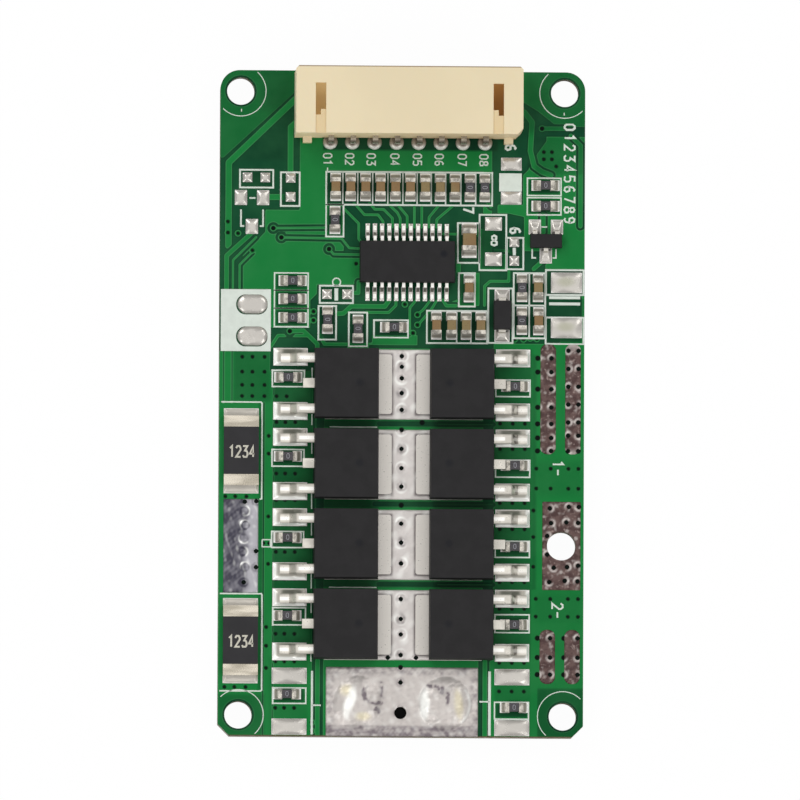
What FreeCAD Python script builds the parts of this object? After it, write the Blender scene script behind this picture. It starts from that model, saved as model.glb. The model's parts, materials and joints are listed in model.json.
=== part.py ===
import FreeCAD, Part
import math
import os
import Sketcher
from FreeCAD import Placement, Rotation, Vector

# Battery management board: a bare circuit board with an eight-pin side-entry header,
# a control chip, eight power transistors and two current-sense resistors.
# The origin is the middle of the board on its underside, +X to the right, +Y towards
# the header, +Z out of the face that carries the parts. All sizes are millimetres.

SIZES = {
    # board
    "board_thick": 1.6, "board_corner": 1.75, "board_bevel": 1.05, "edge_margin": 0.44,
    "mount_hole": 2.5, "mount_inset_x": 1.85, "mount_inset_y": 1.9,
    "land_thick": 0.08, "land_gap": 0.5,
    # zones along the board, from the header to the far edge
    "header_depth": 6.1, "control_len": 18.7, "controller_set": 11.25, "bottom_len": 6.46,
    # header
    "pin_count": 8, "pin_pitch": 2.0, "header_side": 3.25, "header_height": 5.5,
    "header_offset": 0.445, "header_wall": 0.85, "rear_wall": 1.5, "header_corner": 0.5,
    "mouth_corner": 0.25, "window_wid": 0.95, "window_len": 2.4, "window_step": 0.5,
    "window_inset": 1.75, "window_front": 1.55, "channel_deep": 0.12,
    "foot_wid": 0.8, "foot_deep": 0.5, "foot_height": 1.2, "foot_inset": 0.5,
    "relief_room": 0.1,
    # header pins and their solder
    "pin_side": 0.5, "pin_height": 2.6, "pin_set": 0.38, "pin_inset": 1.3, "pin_bend": 0.35,
    "pin_tail": 1.0, "pin_hole": 0.9, "pin_land": 1.3, "fillet_height": 0.6, "crown_height": 0.35,
    "throat_share": 0.8,
    # control chip
    "controller_len": 8.65, "controller_wid": 3.8, "controller_height": 1.25,
    "controller_lift": 0.1, "controller_offset": 0.44, "controller_draft": 8.0,
    "lead_count": 12, "lead_pitch": 0.65, "lead_wid": 0.28, "lead_thick": 0.15,
    "lead_shoulder": 0.45, "lead_slope": 0.3, "lead_foot": 0.65,
    "lead_pad_wid": 0.38, "lead_pad_length": 1.3, "lead_pad_toe": 0.2,
    "dot_wid": 0.7, "dot_deep": 0.05, "dot_inset": 1.1,
    # power transistors
    "mosfet_len": 5.85, "mosfet_wid": 6.4, "mosfet_height": 2.3, "mosfet_gap": 0.86,
    "mosfet_draft": 5.0, "drain_gap": 4.6, "pair_offset": 0.2,
    "tab_wid": 5.4, "tab_reach": 1.2, "tab_bevel": 0.15, "tab_inside": 4.0,
    "leg_thick": 0.5, "leg_wid": 0.85, "leg_spread": 2.3, "leg_rise": 0.9,
    "leg_shoulder": 1.4, "leg_slope": 0.6, "leg_foot": 1.0, "leg_root": 0.9,
    "leg_bend": 0.25, "stub_reach": 1.0,
    "leg_pad_out": 1.91, "leg_pad_len": 3.1, "leg_pad_wid": 1.6, "leg_pad_lane": 2.45,
    "drain_land_wid": 6.35, "drain_land_end": 1.0,
    # current-sense resistors and the big lands at both long edges
    "column_gap": 1.3, "shunt_len": 6.3, "shunt_wid": 3.15, "shunt_height": 0.7,
    "shunt_end": 1.0, "shunt_wrap": 0.06, "shunt_land": 1.7,
    "upper_shunt_set": 1.16, "lower_shunt_set": 1.5,
    "minus_land_wid": 3.45, "minus_land_len": 8.0, "minus_hole": 2.6,
    "strip_wid": 1.4, "strip_split": 1.12, "strip_inset": 0.12,
    "upper_strip_len": 10.0, "upper_strip_drop": 1.22,
    "lower_strip_len": 4.9, "lower_strip_drop": 2.79,
    # small chips
    "chip_len": 1.6, "chip_wid": 0.85, "chip_gap": 0.5, "chip_end": 0.35, "chip_wrap": 0.04,
    "resistor_height": 0.45, "capacitor_height": 0.8, "chip_pad_len": 0.85,
    "chip_pad_out": 0.05, "chip_pad_side": 0.05,
    "gate_offset": 0.2,
    "bulk_len": 2.0, "bulk_wid": 1.25, "bulk_height": 1.1, "bulk_end": 0.45, "bulk_pad_len": 1.1,
    # small transistor and diode
    "transistor_len": 2.9, "transistor_wid": 1.3, "transistor_height": 1.0,
    "transistor_spread": 1.0, "transistor_leg_wid": 0.42, "transistor_leg_out": 0.55,
    "diode_len": 2.65, "diode_wid": 1.6, "diode_height": 1.1, "diode_leg_wid": 0.65,
    "diode_leg_out": 0.6, "small_leg_thick": 0.14,
    "small_pad_len": 1.35, "small_pad_wid": 1.1, "diode_pad_len": 1.1, "diode_pad_wid": 1.35,
    # lands at the far edge and the solder on them
    "bottom_land_len": 13.75, "bottom_land_side": 0.55, "bottom_land_wid": 6.1,
    "bottom_land_edge": 0.18, "bottom_land_offset": 0.13, "bottom_hole": 1.1,
    "dome_wid": 4.8, "dome_height": 0.9, "dome_offset": 4.1,
    "puddle_wid": 4.4, "puddle_height": 0.7, "puddle_offset": 4.0,
    "output_pad_len": 3.15, "output_pad_wid": 1.45,
    "spare_pad_wid": 1.5, "spare_pad_len": 1.2, "lamp_pad_wid": 1.85, "lamp_pad_len": 1.15,
    "terminal_wid": 2.8, "terminal_len": 1.85,
    "slot_land_len": 2.75, "slot_land_wid": 1.75, "slot_dome": 0.35,
}

doc = FreeCAD.newDocument("battery_management_board")
sheet = doc.addObject("Spreadsheet::Sheet", "Sizes")
for row, (alias, size) in enumerate(SIZES.items(), 1):
    sheet.set(f"A{row}", alias.replace("_", " "))
    sheet.set(f"B{row}", str(size))
    sheet.setAlias(f"B{row}", alias)
doc.recompute()

NODES = []
SOLDER_SIDES = 12

# Heights of the surfaces that pieces stand on.
BOARD_TOP = "Sizes.board_thick"
LAND_TOP = "(Sizes.board_thick + Sizes.land_thick)"

# Half the board's width and length, added up from what lies side by side on it.
HALF_WIDTH = (
    "(Sizes.drain_gap / 2 + Sizes.mosfet_len + Sizes.leg_pad_out + Sizes.leg_pad_len / 2"
    " + Sizes.column_gap + Sizes.shunt_wid + Sizes.edge_margin)"
)
ROW_PITCH = "(Sizes.mosfet_wid + Sizes.mosfet_gap)"
HALF_LENGTH = (
    f"((Sizes.header_depth + Sizes.control_len + 4 * {ROW_PITCH} + Sizes.bottom_len) / 2)"
)
HEADER_REAR = f"({HALF_LENGTH} - Sizes.header_depth)"
COLUMN_X = f"({HALF_WIDTH} - Sizes.edge_margin - Sizes.shunt_wid / 2)"
LEG_PAD_X = "(Sizes.drain_gap / 2 + Sizes.mosfet_len + Sizes.leg_pad_out)"
HEADER_WIDTH = "((Sizes.pin_count - 1) * Sizes.pin_pitch + 2 * Sizes.header_side)"
CHIP_PITCH = "(Sizes.chip_wid + Sizes.chip_gap)"
UPPER_SHUNT_Y = f"({HEADER_REAR} - Sizes.control_len - 1.5 * {ROW_PITCH} + Sizes.upper_shunt_set)"
LOWER_SHUNT_Y = f"({HEADER_REAR} - Sizes.control_len - 3.5 * {ROW_PITCH} - Sizes.lower_shunt_set)"
SHUNT_PAD_Y = "(Sizes.shunt_len / 2 - Sizes.shunt_end + Sizes.shunt_land / 2)"

# What the parts of the control zone take up with their lands, along and across.
CHIP_SPAN = "(Sizes.chip_len + 2 * Sizes.chip_pad_out + Sizes.chip_pad_len)"
CHIP_ACROSS = "(Sizes.chip_wid + 2 * Sizes.chip_pad_side)"
BULK_SPAN = "(Sizes.bulk_len + 2 * Sizes.chip_pad_out + Sizes.bulk_pad_len)"
LEAD_REACH = ("(Sizes.controller_wid / 2 + Sizes.lead_shoulder + Sizes.lead_slope"
              " + Sizes.lead_foot + Sizes.lead_pad_toe)")
TRANSISTOR_REACH = "(Sizes.transistor_wid / 2 + Sizes.transistor_leg_out * 1.2)"
TRANSISTOR_SPAN = f"(2 * {TRANSISTOR_REACH} + Sizes.small_pad_len)"
DIODE_REACH = "(Sizes.diode_len / 2 + Sizes.diode_leg_out * 0.85)"
DIODE_SPAN = f"(2 * {DIODE_REACH} + Sizes.diode_pad_len)"


def stack(top, bottom, pieces, last_gap):
    """Middles of named pieces in one column between two lines. Each piece has its length
    and the clearance above it; what the pieces leave free is shared out in proportion
    to the clearances, so that the column gives way evenly when its zone changes."""
    lengths = [length for _, length, _ in pieces]
    gaps = [str(gap) for _, _, gap in pieces] + [str(last_gap)]
    free = f"({top} - {bottom} - {' - '.join(lengths)})"
    middles = {}
    for number, (name, length, _) in enumerate(pieces):
        above = " - ".join([top] + lengths[:number] + [f"{length} / 2"])
        share = f"({' + '.join(gaps[:number + 1])}) / ({' + '.join(gaps)})"
        middles[name] = f"({above} - {free} * {share})"
    return middles


# Columns of the control zone, counted down from the header's rear wall. The share of free
# room above the control chip grows with how far it is set from the header.
ZONE_END = "(-Sizes.control_len)"
DROPS = stack("0", ZONE_END, [
    ("chip_row", CHIP_SPAN, "Sizes.controller_set * 0.61"),
    ("controller", f"(2 * {LEAD_REACH})", "Sizes.controller_set * 0.39"),
    ("low_chips", CHIP_SPAN, 2.0),
], 1.03)
ROW_EDGE = f"({DROPS['chip_row']} - {CHIP_SPAN} / 2)"
LOW_EDGE = f"({DROPS['low_chips']} + {CHIP_SPAN} / 2)"
DROPS |= stack(ROW_EDGE, LOW_EDGE, [
    ("bulk", BULK_SPAN, 1.88), ("bulk_chip", CHIP_SPAN, 1.48),
], 0.85)
DROPS |= stack(ROW_EDGE, ZONE_END, [
    ("left_chip", CHIP_SPAN, 0.45), ("left_spare", "Sizes.chip_pad_len", 5.03),
    ("left_low_chip", CHIP_SPAN, 0.62),
], 0.93)
DROPS |= stack("0", ZONE_END, [
    ("spare_pair_upper", "Sizes.chip_pad_len", 3.23),
    ("spare_pair_lower", "Sizes.chip_pad_len", 0.88),
    ("sense_chip_1", CHIP_ACROSS, 6.7), ("sense_chip_2", CHIP_ACROSS, 0.7),
    ("sense_chip_3", CHIP_ACROSS, 0.75),
], 1.9)
DROPS |= stack("0", "(-Sizes.control_len - 1)", [
    ("edge_spare", "Sizes.chip_pad_len", 3.2), ("transistor_spare", TRANSISTOR_SPAN, 0.73),
    ("slot_upper", "Sizes.slot_land_wid", 5.47), ("slot_lower", "Sizes.slot_land_wid", 1.15),
], 0.8)
DROPS |= stack("0", ZONE_END, [
    ("right_chip_1", CHIP_ACROSS, 3.71), ("right_chip_2", CHIP_ACROSS, 0.92),
    ("transistor", TRANSISTOR_SPAN, 0.75), ("right_chip_3", CHIP_SPAN, 0.95),
    ("right_chip_4", CHIP_SPAN, 0.46),
], 0.93)
DROPS |= stack("0", ZONE_END, [
    ("lamp_upper", "Sizes.lamp_pad_len", 1.7), ("lamp_lower", "Sizes.lamp_pad_len", 1.93),
    ("spare_upper", "Sizes.chip_pad_len", 3.0), ("spare_lower", "Sizes.chip_pad_len", 0.85),
    ("inner_chip_1", CHIP_SPAN, 0.74), ("inner_chip_2", CHIP_SPAN, 0.43),
], 0.96)
DROPS |= stack("0", ZONE_END, [
    ("diode_spare_upper", "Sizes.spare_pad_len", 7.1),
    ("diode_spare_lower", "Sizes.spare_pad_len", 2.0), ("diode", DIODE_SPAN, 2.13),
], 0.3)
DROPS |= stack("0", ZONE_END, [
    ("terminal_upper", "Sizes.terminal_len", 12.08),
    ("terminal_lower", "Sizes.terminal_len", 2.23),
], 0.69)

# The far zone's two outer columns, counted down from the last power row.
FAR_END = "(-Sizes.bottom_len)"
FAR_LEFT = stack("0", FAR_END, [
    ("near", "Sizes.output_pad_wid", 0.29), ("chip", CHIP_ACROSS, 0.45),
    ("far", "Sizes.output_pad_wid", 1.75),
], 0.12)
FAR_RIGHT = stack("0", FAR_END, [
    ("near", "Sizes.output_pad_wid", 0.29), ("chip", CHIP_ACROSS, 1.55),
    ("far", "Sizes.output_pad_wid", 0.65),
], 0.12)

BOTTOM_HOLE_Y = f"(Sizes.bottom_len / 3 - {HALF_LENGTH})"

# Places across are those of a board with this half width, and stretch with it.
DRAWN_HALF_WIDTH = 16.5


def zone_y(name, lift=0.0):
    """Place along the board of a named piece of the control zone."""
    return f"({HEADER_REAR} + {DROPS[name]} + {lift})"


def zone_x(across):
    """Place across the board, as a share of its half width."""
    return f"({across / DRAWN_HALF_WIDTH:.5f} * {HALF_WIDTH})"


CONTROL_Y = zone_y("controller")


def row_y(number):
    """Middle of one row of power transistors, counted from the header."""
    return f"({HEADER_REAR} - Sizes.control_len - {number - 0.5} * {ROW_PITCH})"


def size_of(expression):
    """The number that an expression over the sheet has now."""
    return float(sheet.evalExpression(expression.replace("Sizes.", "")))


def seat(piece, across="0", along="0", height="0", turn=0):
    """Place a piece on the board, its three coordinates bound to the sheet."""
    piece.Placement = Placement(Vector(), Rotation(Vector(0, 0, 1), turn))
    for axis, expression in zip("xyz", (across, along, height)):
        piece.setExpression(f".Placement.Base.{axis}", expression)
    return piece


def node(piece, label):
    """Name a finished piece and list it for the files."""
    piece.Label = label
    NODES.append(piece)
    return piece


def new_body(name):
    return doc.addObject("PartDesign::Body", name)


def new_sketch(body, name, role, lift="0"):
    """A sketch on one of the body's own origin planes, lifted along the plane's normal."""
    plane = [face for face in body.Origin.OriginFeatures if face.Role == role][0]
    sketch = body.newObject("Sketcher::SketchObject", name)
    sketch.AttachmentSupport = [(plane, "")]
    sketch.MapMode = "FlatFace"
    sketch.setExpression(".AttachmentOffset.Base.z", lift)
    return sketch


def draw_polygon(sketch, points):
    """Closed outline whose corners are held from the sketch origin by the sheet."""
    first = sketch.GeometryCount
    spots = [(size_of(across), size_of(along)) for across, along in points]
    count = len(spots)
    for index, spot in enumerate(spots):
        following = spots[(index + 1) % count]
        sketch.addGeometry(Part.LineSegment(Vector(*spot, 0), Vector(*following, 0)), False)
    for index, (across, along) in enumerate(points):
        line, following = first + index, first + (index + 1) % count
        sketch.addConstraint(Sketcher.Constraint("Coincident", line, 2, following, 1))
        for kind, expression, value in (
            ("DistanceX", across, spots[index][0]),
            ("DistanceY", along, spots[index][1]),
        ):
            held = sketch.addConstraint(Sketcher.Constraint(kind, -1, 1, line, 1, value))
            sketch.setExpression(f"Constraints[{held}]", expression)


def draw_box(sketch, wide, tall, across="0", along="0"):
    """Rectangle centred on a point of the sketch."""
    draw_polygon(sketch, [
        (f"{across} - {wide} / 2", f"{along} - {tall} / 2"),
        (f"{across} + {wide} / 2", f"{along} - {tall} / 2"),
        (f"{across} + {wide} / 2", f"{along} + {tall} / 2"),
        (f"{across} - {wide} / 2", f"{along} + {tall} / 2"),
    ])


def draw_circle(sketch, across, along, diameter):
    """Circle whose middle and radius are held by the sheet."""
    spot = Vector(size_of(across), size_of(along), 0)
    radius = size_of(diameter) / 2
    ring = sketch.addGeometry(Part.Circle(spot, Vector(0, 0, 1), radius), False)
    for kind, expression, value in (("DistanceX", across, spot.x), ("DistanceY", along, spot.y)):
        held = sketch.addConstraint(Sketcher.Constraint(kind, -1, 1, ring, 3, value))
        sketch.setExpression(f"Constraints[{held}]", expression)
    held = sketch.addConstraint(Sketcher.Constraint("Radius", ring, radius))
    sketch.setExpression(f"Constraints[{held}]", f"{diameter} / 2")


def pad(body, sketch, length, centred=False, reverse=False):
    """Extrude a sketch by a bound length."""
    feature = body.newObject("PartDesign::Pad", f"{sketch.Name}_pad")
    feature.Profile = sketch
    feature.setExpression("Length", length)
    feature.SideType = "Symmetric" if centred else "One side"
    feature.Reversed = reverse
    doc.recompute()
    return feature


def pocket(body, sketch, length, reverse=False):
    """Cut a sketch into the body by a bound length, and prove that it cut."""
    before = body.Shape.Volume
    feature = body.newObject("PartDesign::Pocket", f"{sketch.Name}_pocket")
    feature.Profile = sketch
    feature.setExpression("Length", length)
    feature.Reversed = reverse
    doc.recompute()
    if body.Shape.Volume >= before:
        raise RuntimeError(f"{feature.Name} cuts nothing")
    return feature


def dress(body, kind, size, wanted):
    """Fillet or chamfer the edges of the body that a test picks out."""
    base = body.Tip
    names = [f"Edge{n}" for n, edge in enumerate(base.Shape.Edges, 1) if wanted(edge)]
    feature = body.newObject(f"PartDesign::{kind}", f"{body.Name}_{kind.lower()}")
    feature.Base = (base, names)
    feature.setExpression("Radius" if kind == "Fillet" else "Size", size)
    body.Tip = feature
    doc.recompute()
    return feature


def upright_at(spots):
    """Test for vertical edges that stand at any of the given plan positions."""
    def wanted(edge):
        box = edge.BoundBox
        if box.XLength > 1e-4 or box.YLength > 1e-4:
            return False
        return any(abs(box.XMin - x) < 1e-3 and abs(box.YMin - y) < 1e-3 for x, y in spots)
    return wanted


def crosswise_at(spots):
    """Test for edges along the local Y axis that pass through given X, Z positions."""
    def wanted(edge):
        box = edge.BoundBox
        if box.XLength > 1e-4 or box.ZLength > 1e-4:
            return False
        return any(abs(box.XMin - x) < 1e-3 and abs(box.ZMin - z) < 1e-3 for x, z in spots)
    return wanted


def copies(label, master, places, height):
    """One node made of placed copies of a master piece."""
    placed = []
    for number, (across, along, turn) in enumerate(places, 1):
        copy = doc.addObject("App::Link", f"{label}_copy_{number}")
        copy.LinkedObject = master
        placed.append(seat(copy, across, along, height, turn))
    return node(joined(label, placed), label)


def joined(name, pieces):
    """Separate solids kept together in one compound."""
    group = doc.addObject("Part::Compound", name)
    group.Links = pieces
    return group


def cut(name, base, tools):
    """The base with the tools' room taken out of it."""
    removed = base
    for number, tool in enumerate(tools, 1):
        step = doc.addObject("Part::Cut", f"{name}_{number}")
        step.Base = removed
        step.Tool = tool
        removed = step
    return removed


def moulded_block(name, length, width, height, parting, draft):
    """Moulded package: both halves taper away from the parting plane, lying from x = 0."""
    body = new_body(name)
    sketch = new_sketch(body, f"{name}_plan", "XY_Plane", parting)
    draw_box(sketch, length, width, across=f"{length} / 2")
    block = body.newObject("PartDesign::Pad", f"{name}_block")
    block.Profile = sketch
    block.SideType = "Two sides"
    block.setExpression("Length", f"{height} - {parting}")
    block.setExpression("Length2", parting)
    block.setExpression("TaperAngle", f"-{draft}")
    block.setExpression("TaperAngle2", f"-{draft}")
    doc.recompute()
    return body


def make_board():
    """Laminate plate with its mounting, header and terminal holes."""
    body = new_body("board")
    plan = new_sketch(body, "board_plan", "XY_Plane")
    draw_box(plan, f"(2 * {HALF_WIDTH})", f"(2 * {HALF_LENGTH})")
    pad(body, plan, BOARD_TOP)
    half_w, half_l = size_of(HALF_WIDTH), size_of(HALF_LENGTH)
    dress(body, "Fillet", "Sizes.board_corner",
          upright_at([(-half_w, half_l), (half_w, half_l)]))
    dress(body, "Chamfer", "Sizes.board_bevel",
          upright_at([(-half_w, -half_l), (half_w, -half_l)]))
    holes = new_sketch(body, "board_holes", "XY_Plane")
    for side in (-1, 1):
        for end in (-1, 1):
            draw_circle(holes, f"{side} * ({HALF_WIDTH} - Sizes.mount_inset_x)",
                        f"{end} * ({HALF_LENGTH} - Sizes.mount_inset_y)", "Sizes.mount_hole")
    for across in pin_places():
        draw_circle(holes, across, f"{HEADER_REAR} - Sizes.pin_set", "Sizes.pin_hole")
    draw_circle(holes, COLUMN_X, row_y(3), "Sizes.minus_hole")
    draw_circle(holes, "0", BOTTOM_HOLE_Y, "Sizes.bottom_hole")
    pocket(body, holes, BOARD_TOP, reverse=True)
    node(body, "circuit_board")


def pin_places():
    """Places of the header pins across the board."""
    count = round(size_of("Sizes.pin_count"))
    return [f"Sizes.header_offset + ({n} - (Sizes.pin_count - 1) / 2) * Sizes.pin_pitch"
            for n in range(count)]


def make_housing():
    """Side-entry header shell: open mouth at the board's edge, two lock windows in its roof."""
    body = new_body("housing")
    plan = new_sketch(body, "housing_plan", "XY_Plane")
    draw_box(plan, HEADER_WIDTH, "Sizes.header_depth", along="Sizes.header_depth / 2")
    pad(body, plan, "Sizes.header_height")
    half, depth = size_of(HEADER_WIDTH) / 2, size_of("Sizes.header_depth")
    dress(body, "Chamfer", "Sizes.header_corner", upright_at([(half, 0)]))
    mouth_edges = dress(body, "Chamfer", "Sizes.mouth_corner",
                        upright_at([(half, depth), (-half, depth)]))
    mouth_edges.Label = "mouth_corners"
    feet = new_sketch(body, "housing_feet", "XY_Plane")
    for side in (-1, 1):
        draw_box(feet, "Sizes.foot_wid", "(2 * Sizes.foot_deep)",
                 across=f"{side} * ({HEADER_WIDTH} / 2 - Sizes.foot_inset"
                        f" - Sizes.foot_wid / 2 - Sizes.header_corner / 2)")
    pad(body, feet, "Sizes.foot_height")
    cavity = new_sketch(body, "housing_cavity", "XZ_Plane", "-Sizes.header_depth")
    draw_box(cavity, f"({HEADER_WIDTH} - 2 * Sizes.header_wall)",
             "(Sizes.header_height - 2 * Sizes.header_wall)", along="Sizes.header_height / 2")
    pocket(body, cavity, "Sizes.header_depth - Sizes.rear_wall", reverse=True)
    windows = new_sketch(body, "housing_windows", "XY_Plane", "Sizes.header_height")
    channels = new_sketch(body, "housing_channels", "XY_Plane", "Sizes.header_height")
    front = "Sizes.header_depth - Sizes.window_front"
    for side in (-1, 1):
        outer = f"{side} * ({HEADER_WIDTH} / 2 - Sizes.window_inset)"
        inner = f"{outer} - {side} * Sizes.window_wid"
        middle = f"{outer} - {side} * Sizes.window_wid / 2"
        draw_polygon(windows, [
            (outer, front), (inner, front),
            (inner, f"{front} - Sizes.window_len"),
            (middle, f"{front} - Sizes.window_len"),
            (middle, f"{front} - Sizes.window_len - Sizes.window_step"),
            (outer, f"{front} - Sizes.window_len - Sizes.window_step"),
        ])
        draw_polygon(channels, [(outer, front), (inner, front), (inner, "0"), (outer, "0")])
    pocket(body, windows, "Sizes.header_wall")
    pocket(body, channels, "Sizes.channel_deep")
    bores = new_sketch(body, "housing_bores", "XZ_Plane")
    for number, _ in enumerate(pin_places()):
        draw_box(bores, "Sizes.pin_side", "Sizes.pin_side", along="Sizes.pin_height",
                 across=f"({number} - (Sizes.pin_count - 1) / 2) * Sizes.pin_pitch")
    pocket(body, bores, "Sizes.rear_wall")
    relief = new_sketch(body, "housing_relief", "XY_Plane")
    draw_box(relief, "((Sizes.pin_count - 1) * Sizes.pin_pitch + Sizes.pin_land"
                     " + 2 * Sizes.relief_room)",
             "(Sizes.pin_land - 2 * Sizes.pin_set + 2 * Sizes.relief_room)")
    pocket(body, relief, "Sizes.crown_height + Sizes.relief_room",
           reverse=True)
    seat(body, "Sizes.header_offset", HEADER_REAR, BOARD_TOP)
    node(body, "connector_housing")


def make_pins():
    """Square pins: straight through the rear wall, bent down and soldered in the board."""
    half = "Sizes.pin_side / 2"
    tip = "Sizes.header_depth - Sizes.pin_inset"
    foot = "-Sizes.board_thick - Sizes.pin_tail"
    body = new_body("pin")
    side = new_sketch(body, "pin_side_view", "YZ_Plane")
    draw_polygon(side, [
        (tip, f"Sizes.pin_height - {half}"), (tip, f"Sizes.pin_height + {half}"),
        (f"-Sizes.pin_set - {half}", f"Sizes.pin_height + {half}"),
        (f"-Sizes.pin_set - {half}", foot), (f"-Sizes.pin_set + {half}", foot),
        (f"-Sizes.pin_set + {half}", f"Sizes.pin_height - {half}"),
    ])
    pad(body, side, "Sizes.pin_side", centred=True)
    bend_y = size_of(f"-Sizes.pin_set - {half}")
    bend_z = size_of(f"Sizes.pin_height + {half}")
    dress(body, "Fillet", "Sizes.pin_bend",
          lambda edge: edge.BoundBox.YLength < 1e-4 and edge.BoundBox.ZLength < 1e-4
          and abs(edge.BoundBox.YMin - bend_y) < 1e-3 and abs(edge.BoundBox.ZMin - bend_z) < 1e-3)
    for number, across in enumerate(pin_places(), 1):
        copies(f"connector_pin_{number}", body, [(across, HEADER_REAR, 0)], BOARD_TOP)
    make_pin_solder()


def make_pin_solder():
    """Solder round each pin: a fillet under the board and a crown on top of it."""
    upper = solder_cone("pin_crown", "Sizes.crown_height")
    lower = solder_cone("pin_fillet", "Sizes.fillet_height")
    placed = []
    for number, across in enumerate(pin_places(), 1):
        spot = (across, f"{HEADER_REAR} - Sizes.pin_set", 0)
        placed.append(link_at(upper, f"crown_{number}", spot, BOARD_TOP))
        below = link_at(lower, f"fillet_{number}", spot, "0")
        below.Placement.Rotation = Rotation(Vector(1, 0, 0), 180)
        placed.append(below)
    node(joined("connector_solder", placed), "connector_solder")


def draw_ring(sketch, radius):
    """Regular twelve-sided outline of a given corner radius."""
    corners = [2 * math.pi * n / SOLDER_SIDES for n in range(SOLDER_SIDES)]
    draw_polygon(sketch, [(f"{radius} * {math.cos(angle):.6f}",
                           f"{radius} * {math.sin(angle):.6f}") for angle in corners])


def solder_cone(name, height):
    """Cone of solder, lofted in flat facets from its land up to the throat round a pin."""
    body = new_body(name)
    foot = new_sketch(body, f"{name}_foot", "XY_Plane")
    draw_ring(foot, "Sizes.pin_land / 2")
    throat = new_sketch(body, f"{name}_throat", "XY_Plane", height)
    draw_ring(throat, "Sizes.pin_side * Sizes.throat_share")
    loft = body.newObject("PartDesign::AdditiveLoft", f"{name}_loft")
    loft.Profile = (foot, [""])
    loft.Sections = [(throat, [""])]
    loft.Ruled = True
    doc.recompute()
    bore = new_sketch(body, f"{name}_bore", "XY_Plane")
    draw_box(bore, "Sizes.pin_side", "Sizes.pin_side")
    pocket(body, bore, height, reverse=True)
    return body


def link_at(master, name, spot, height):
    """One placed copy of a master piece."""
    copy = doc.addObject("App::Link", name)
    copy.LinkedObject = master
    return seat(copy, spot[0], spot[1], height, spot[2])


def revolve(body, sketch):
    """Turn a profile in the XZ plane about the local Z axis."""
    feature = body.newObject("PartDesign::Revolution", f"{sketch.Name}_turn")
    feature.Profile = sketch
    feature.ReferenceAxis = (sketch, ["V_Axis"])
    feature.Angle = 360
    doc.recompute()
    return feature


def make_controller():
    """Control chip: drafted body with an index dot, and gull-wing leads on two sides."""
    parting = "(Sizes.controller_height + Sizes.controller_lift) / 2"
    body = moulded_block("controller", "Sizes.controller_len", "Sizes.controller_wid",
                         "Sizes.controller_height", parting, "Sizes.controller_draft")
    body.Tip.setExpression("Length2", f"{parting} - Sizes.controller_lift")
    dot = new_sketch(body, "controller_dot", "XY_Plane", "Sizes.controller_height")
    draw_circle(dot, "Sizes.controller_len - Sizes.dot_inset",
                "Sizes.controller_wid / 2 - Sizes.dot_inset", "Sizes.dot_wid")
    pocket(body, dot, "Sizes.dot_deep")
    seat(body, "Sizes.controller_offset - Sizes.controller_len / 2", CONTROL_Y, LAND_TOP)
    node(body, "controller_body")
    low = "(Sizes.lead_thick / 2)"
    lead = gull_wing("controller_lead", parting, low, "Sizes.lead_shoulder", "Sizes.lead_slope",
                     "Sizes.lead_foot", "Sizes.lead_thick", "Sizes.lead_wid", "0")
    places, pads = [], []
    count = round(size_of("Sizes.lead_count"))
    for side, turn in ((1, 90), (-1, -90)):
        for number in range(count):
            across = (f"Sizes.controller_offset + ({number} - (Sizes.lead_count - 1) / 2)"
                      " * Sizes.lead_pitch")
            places.append((across, f"{CONTROL_Y} + {side} * Sizes.controller_wid / 2", turn))
            reach = f"({LEAD_REACH} - Sizes.lead_pad_length / 2)"
            pads.append((across, f"{CONTROL_Y} + {side} * {reach}", 90))
    copies("controller_leads", lead, places, LAND_TOP)
    master = pad_box("controller_pad", "Sizes.lead_pad_length", "Sizes.lead_pad_wid")
    copies("controller_pads", master, pads, BOARD_TOP)


def gull_wing(name, height, low, shoulder, slope, foot, thick, wide, root, bend=None):
    """Formed lead along +X: level out of the body, down a slope and flat on its land.
    The height is that of the middle of the strip where it leaves the body."""
    body = new_body(name)
    side = new_sketch(body, f"{name}_side", "XZ_Plane")
    knee = shoulder
    ankle = f"({shoulder} + {slope})"
    toe = f"({shoulder} + {slope} + {foot})"
    lean = f"({thick} / 3)"
    draw_polygon(side, [
        (f"-{root}", f"{height} - {thick} / 2"), (f"{knee} - {lean}", f"{height} - {thick} / 2"),
        (f"{ankle} - {lean}", f"{low} - {thick} / 2"), (toe, f"{low} - {thick} / 2"),
        (toe, f"{low} + {thick} / 2"), (f"{ankle} + {lean}", f"{low} + {thick} / 2"),
        (f"{knee} + {lean}", f"{height} + {thick} / 2"), (f"-{root}", f"{height} + {thick} / 2"),
    ])
    pad(body, side, wide, centred=True)
    if bend:
        spots = [(size_of(f"{knee} + {lean}"), size_of(f"{height} + {thick} / 2")),
                 (size_of(f"{ankle} - {lean}"), size_of(f"{low} - {thick} / 2"))]
        dress(body, "Fillet", bend, crosswise_at(spots))
    return body


def pad_box(name, length, width):
    """Rectangular land centred on its own origin."""
    body = new_body(name)
    plan = new_sketch(body, f"{name}_plan", "XY_Plane")
    draw_box(plan, length, width)
    pad(body, plan, "Sizes.land_thick")
    return body


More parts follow.
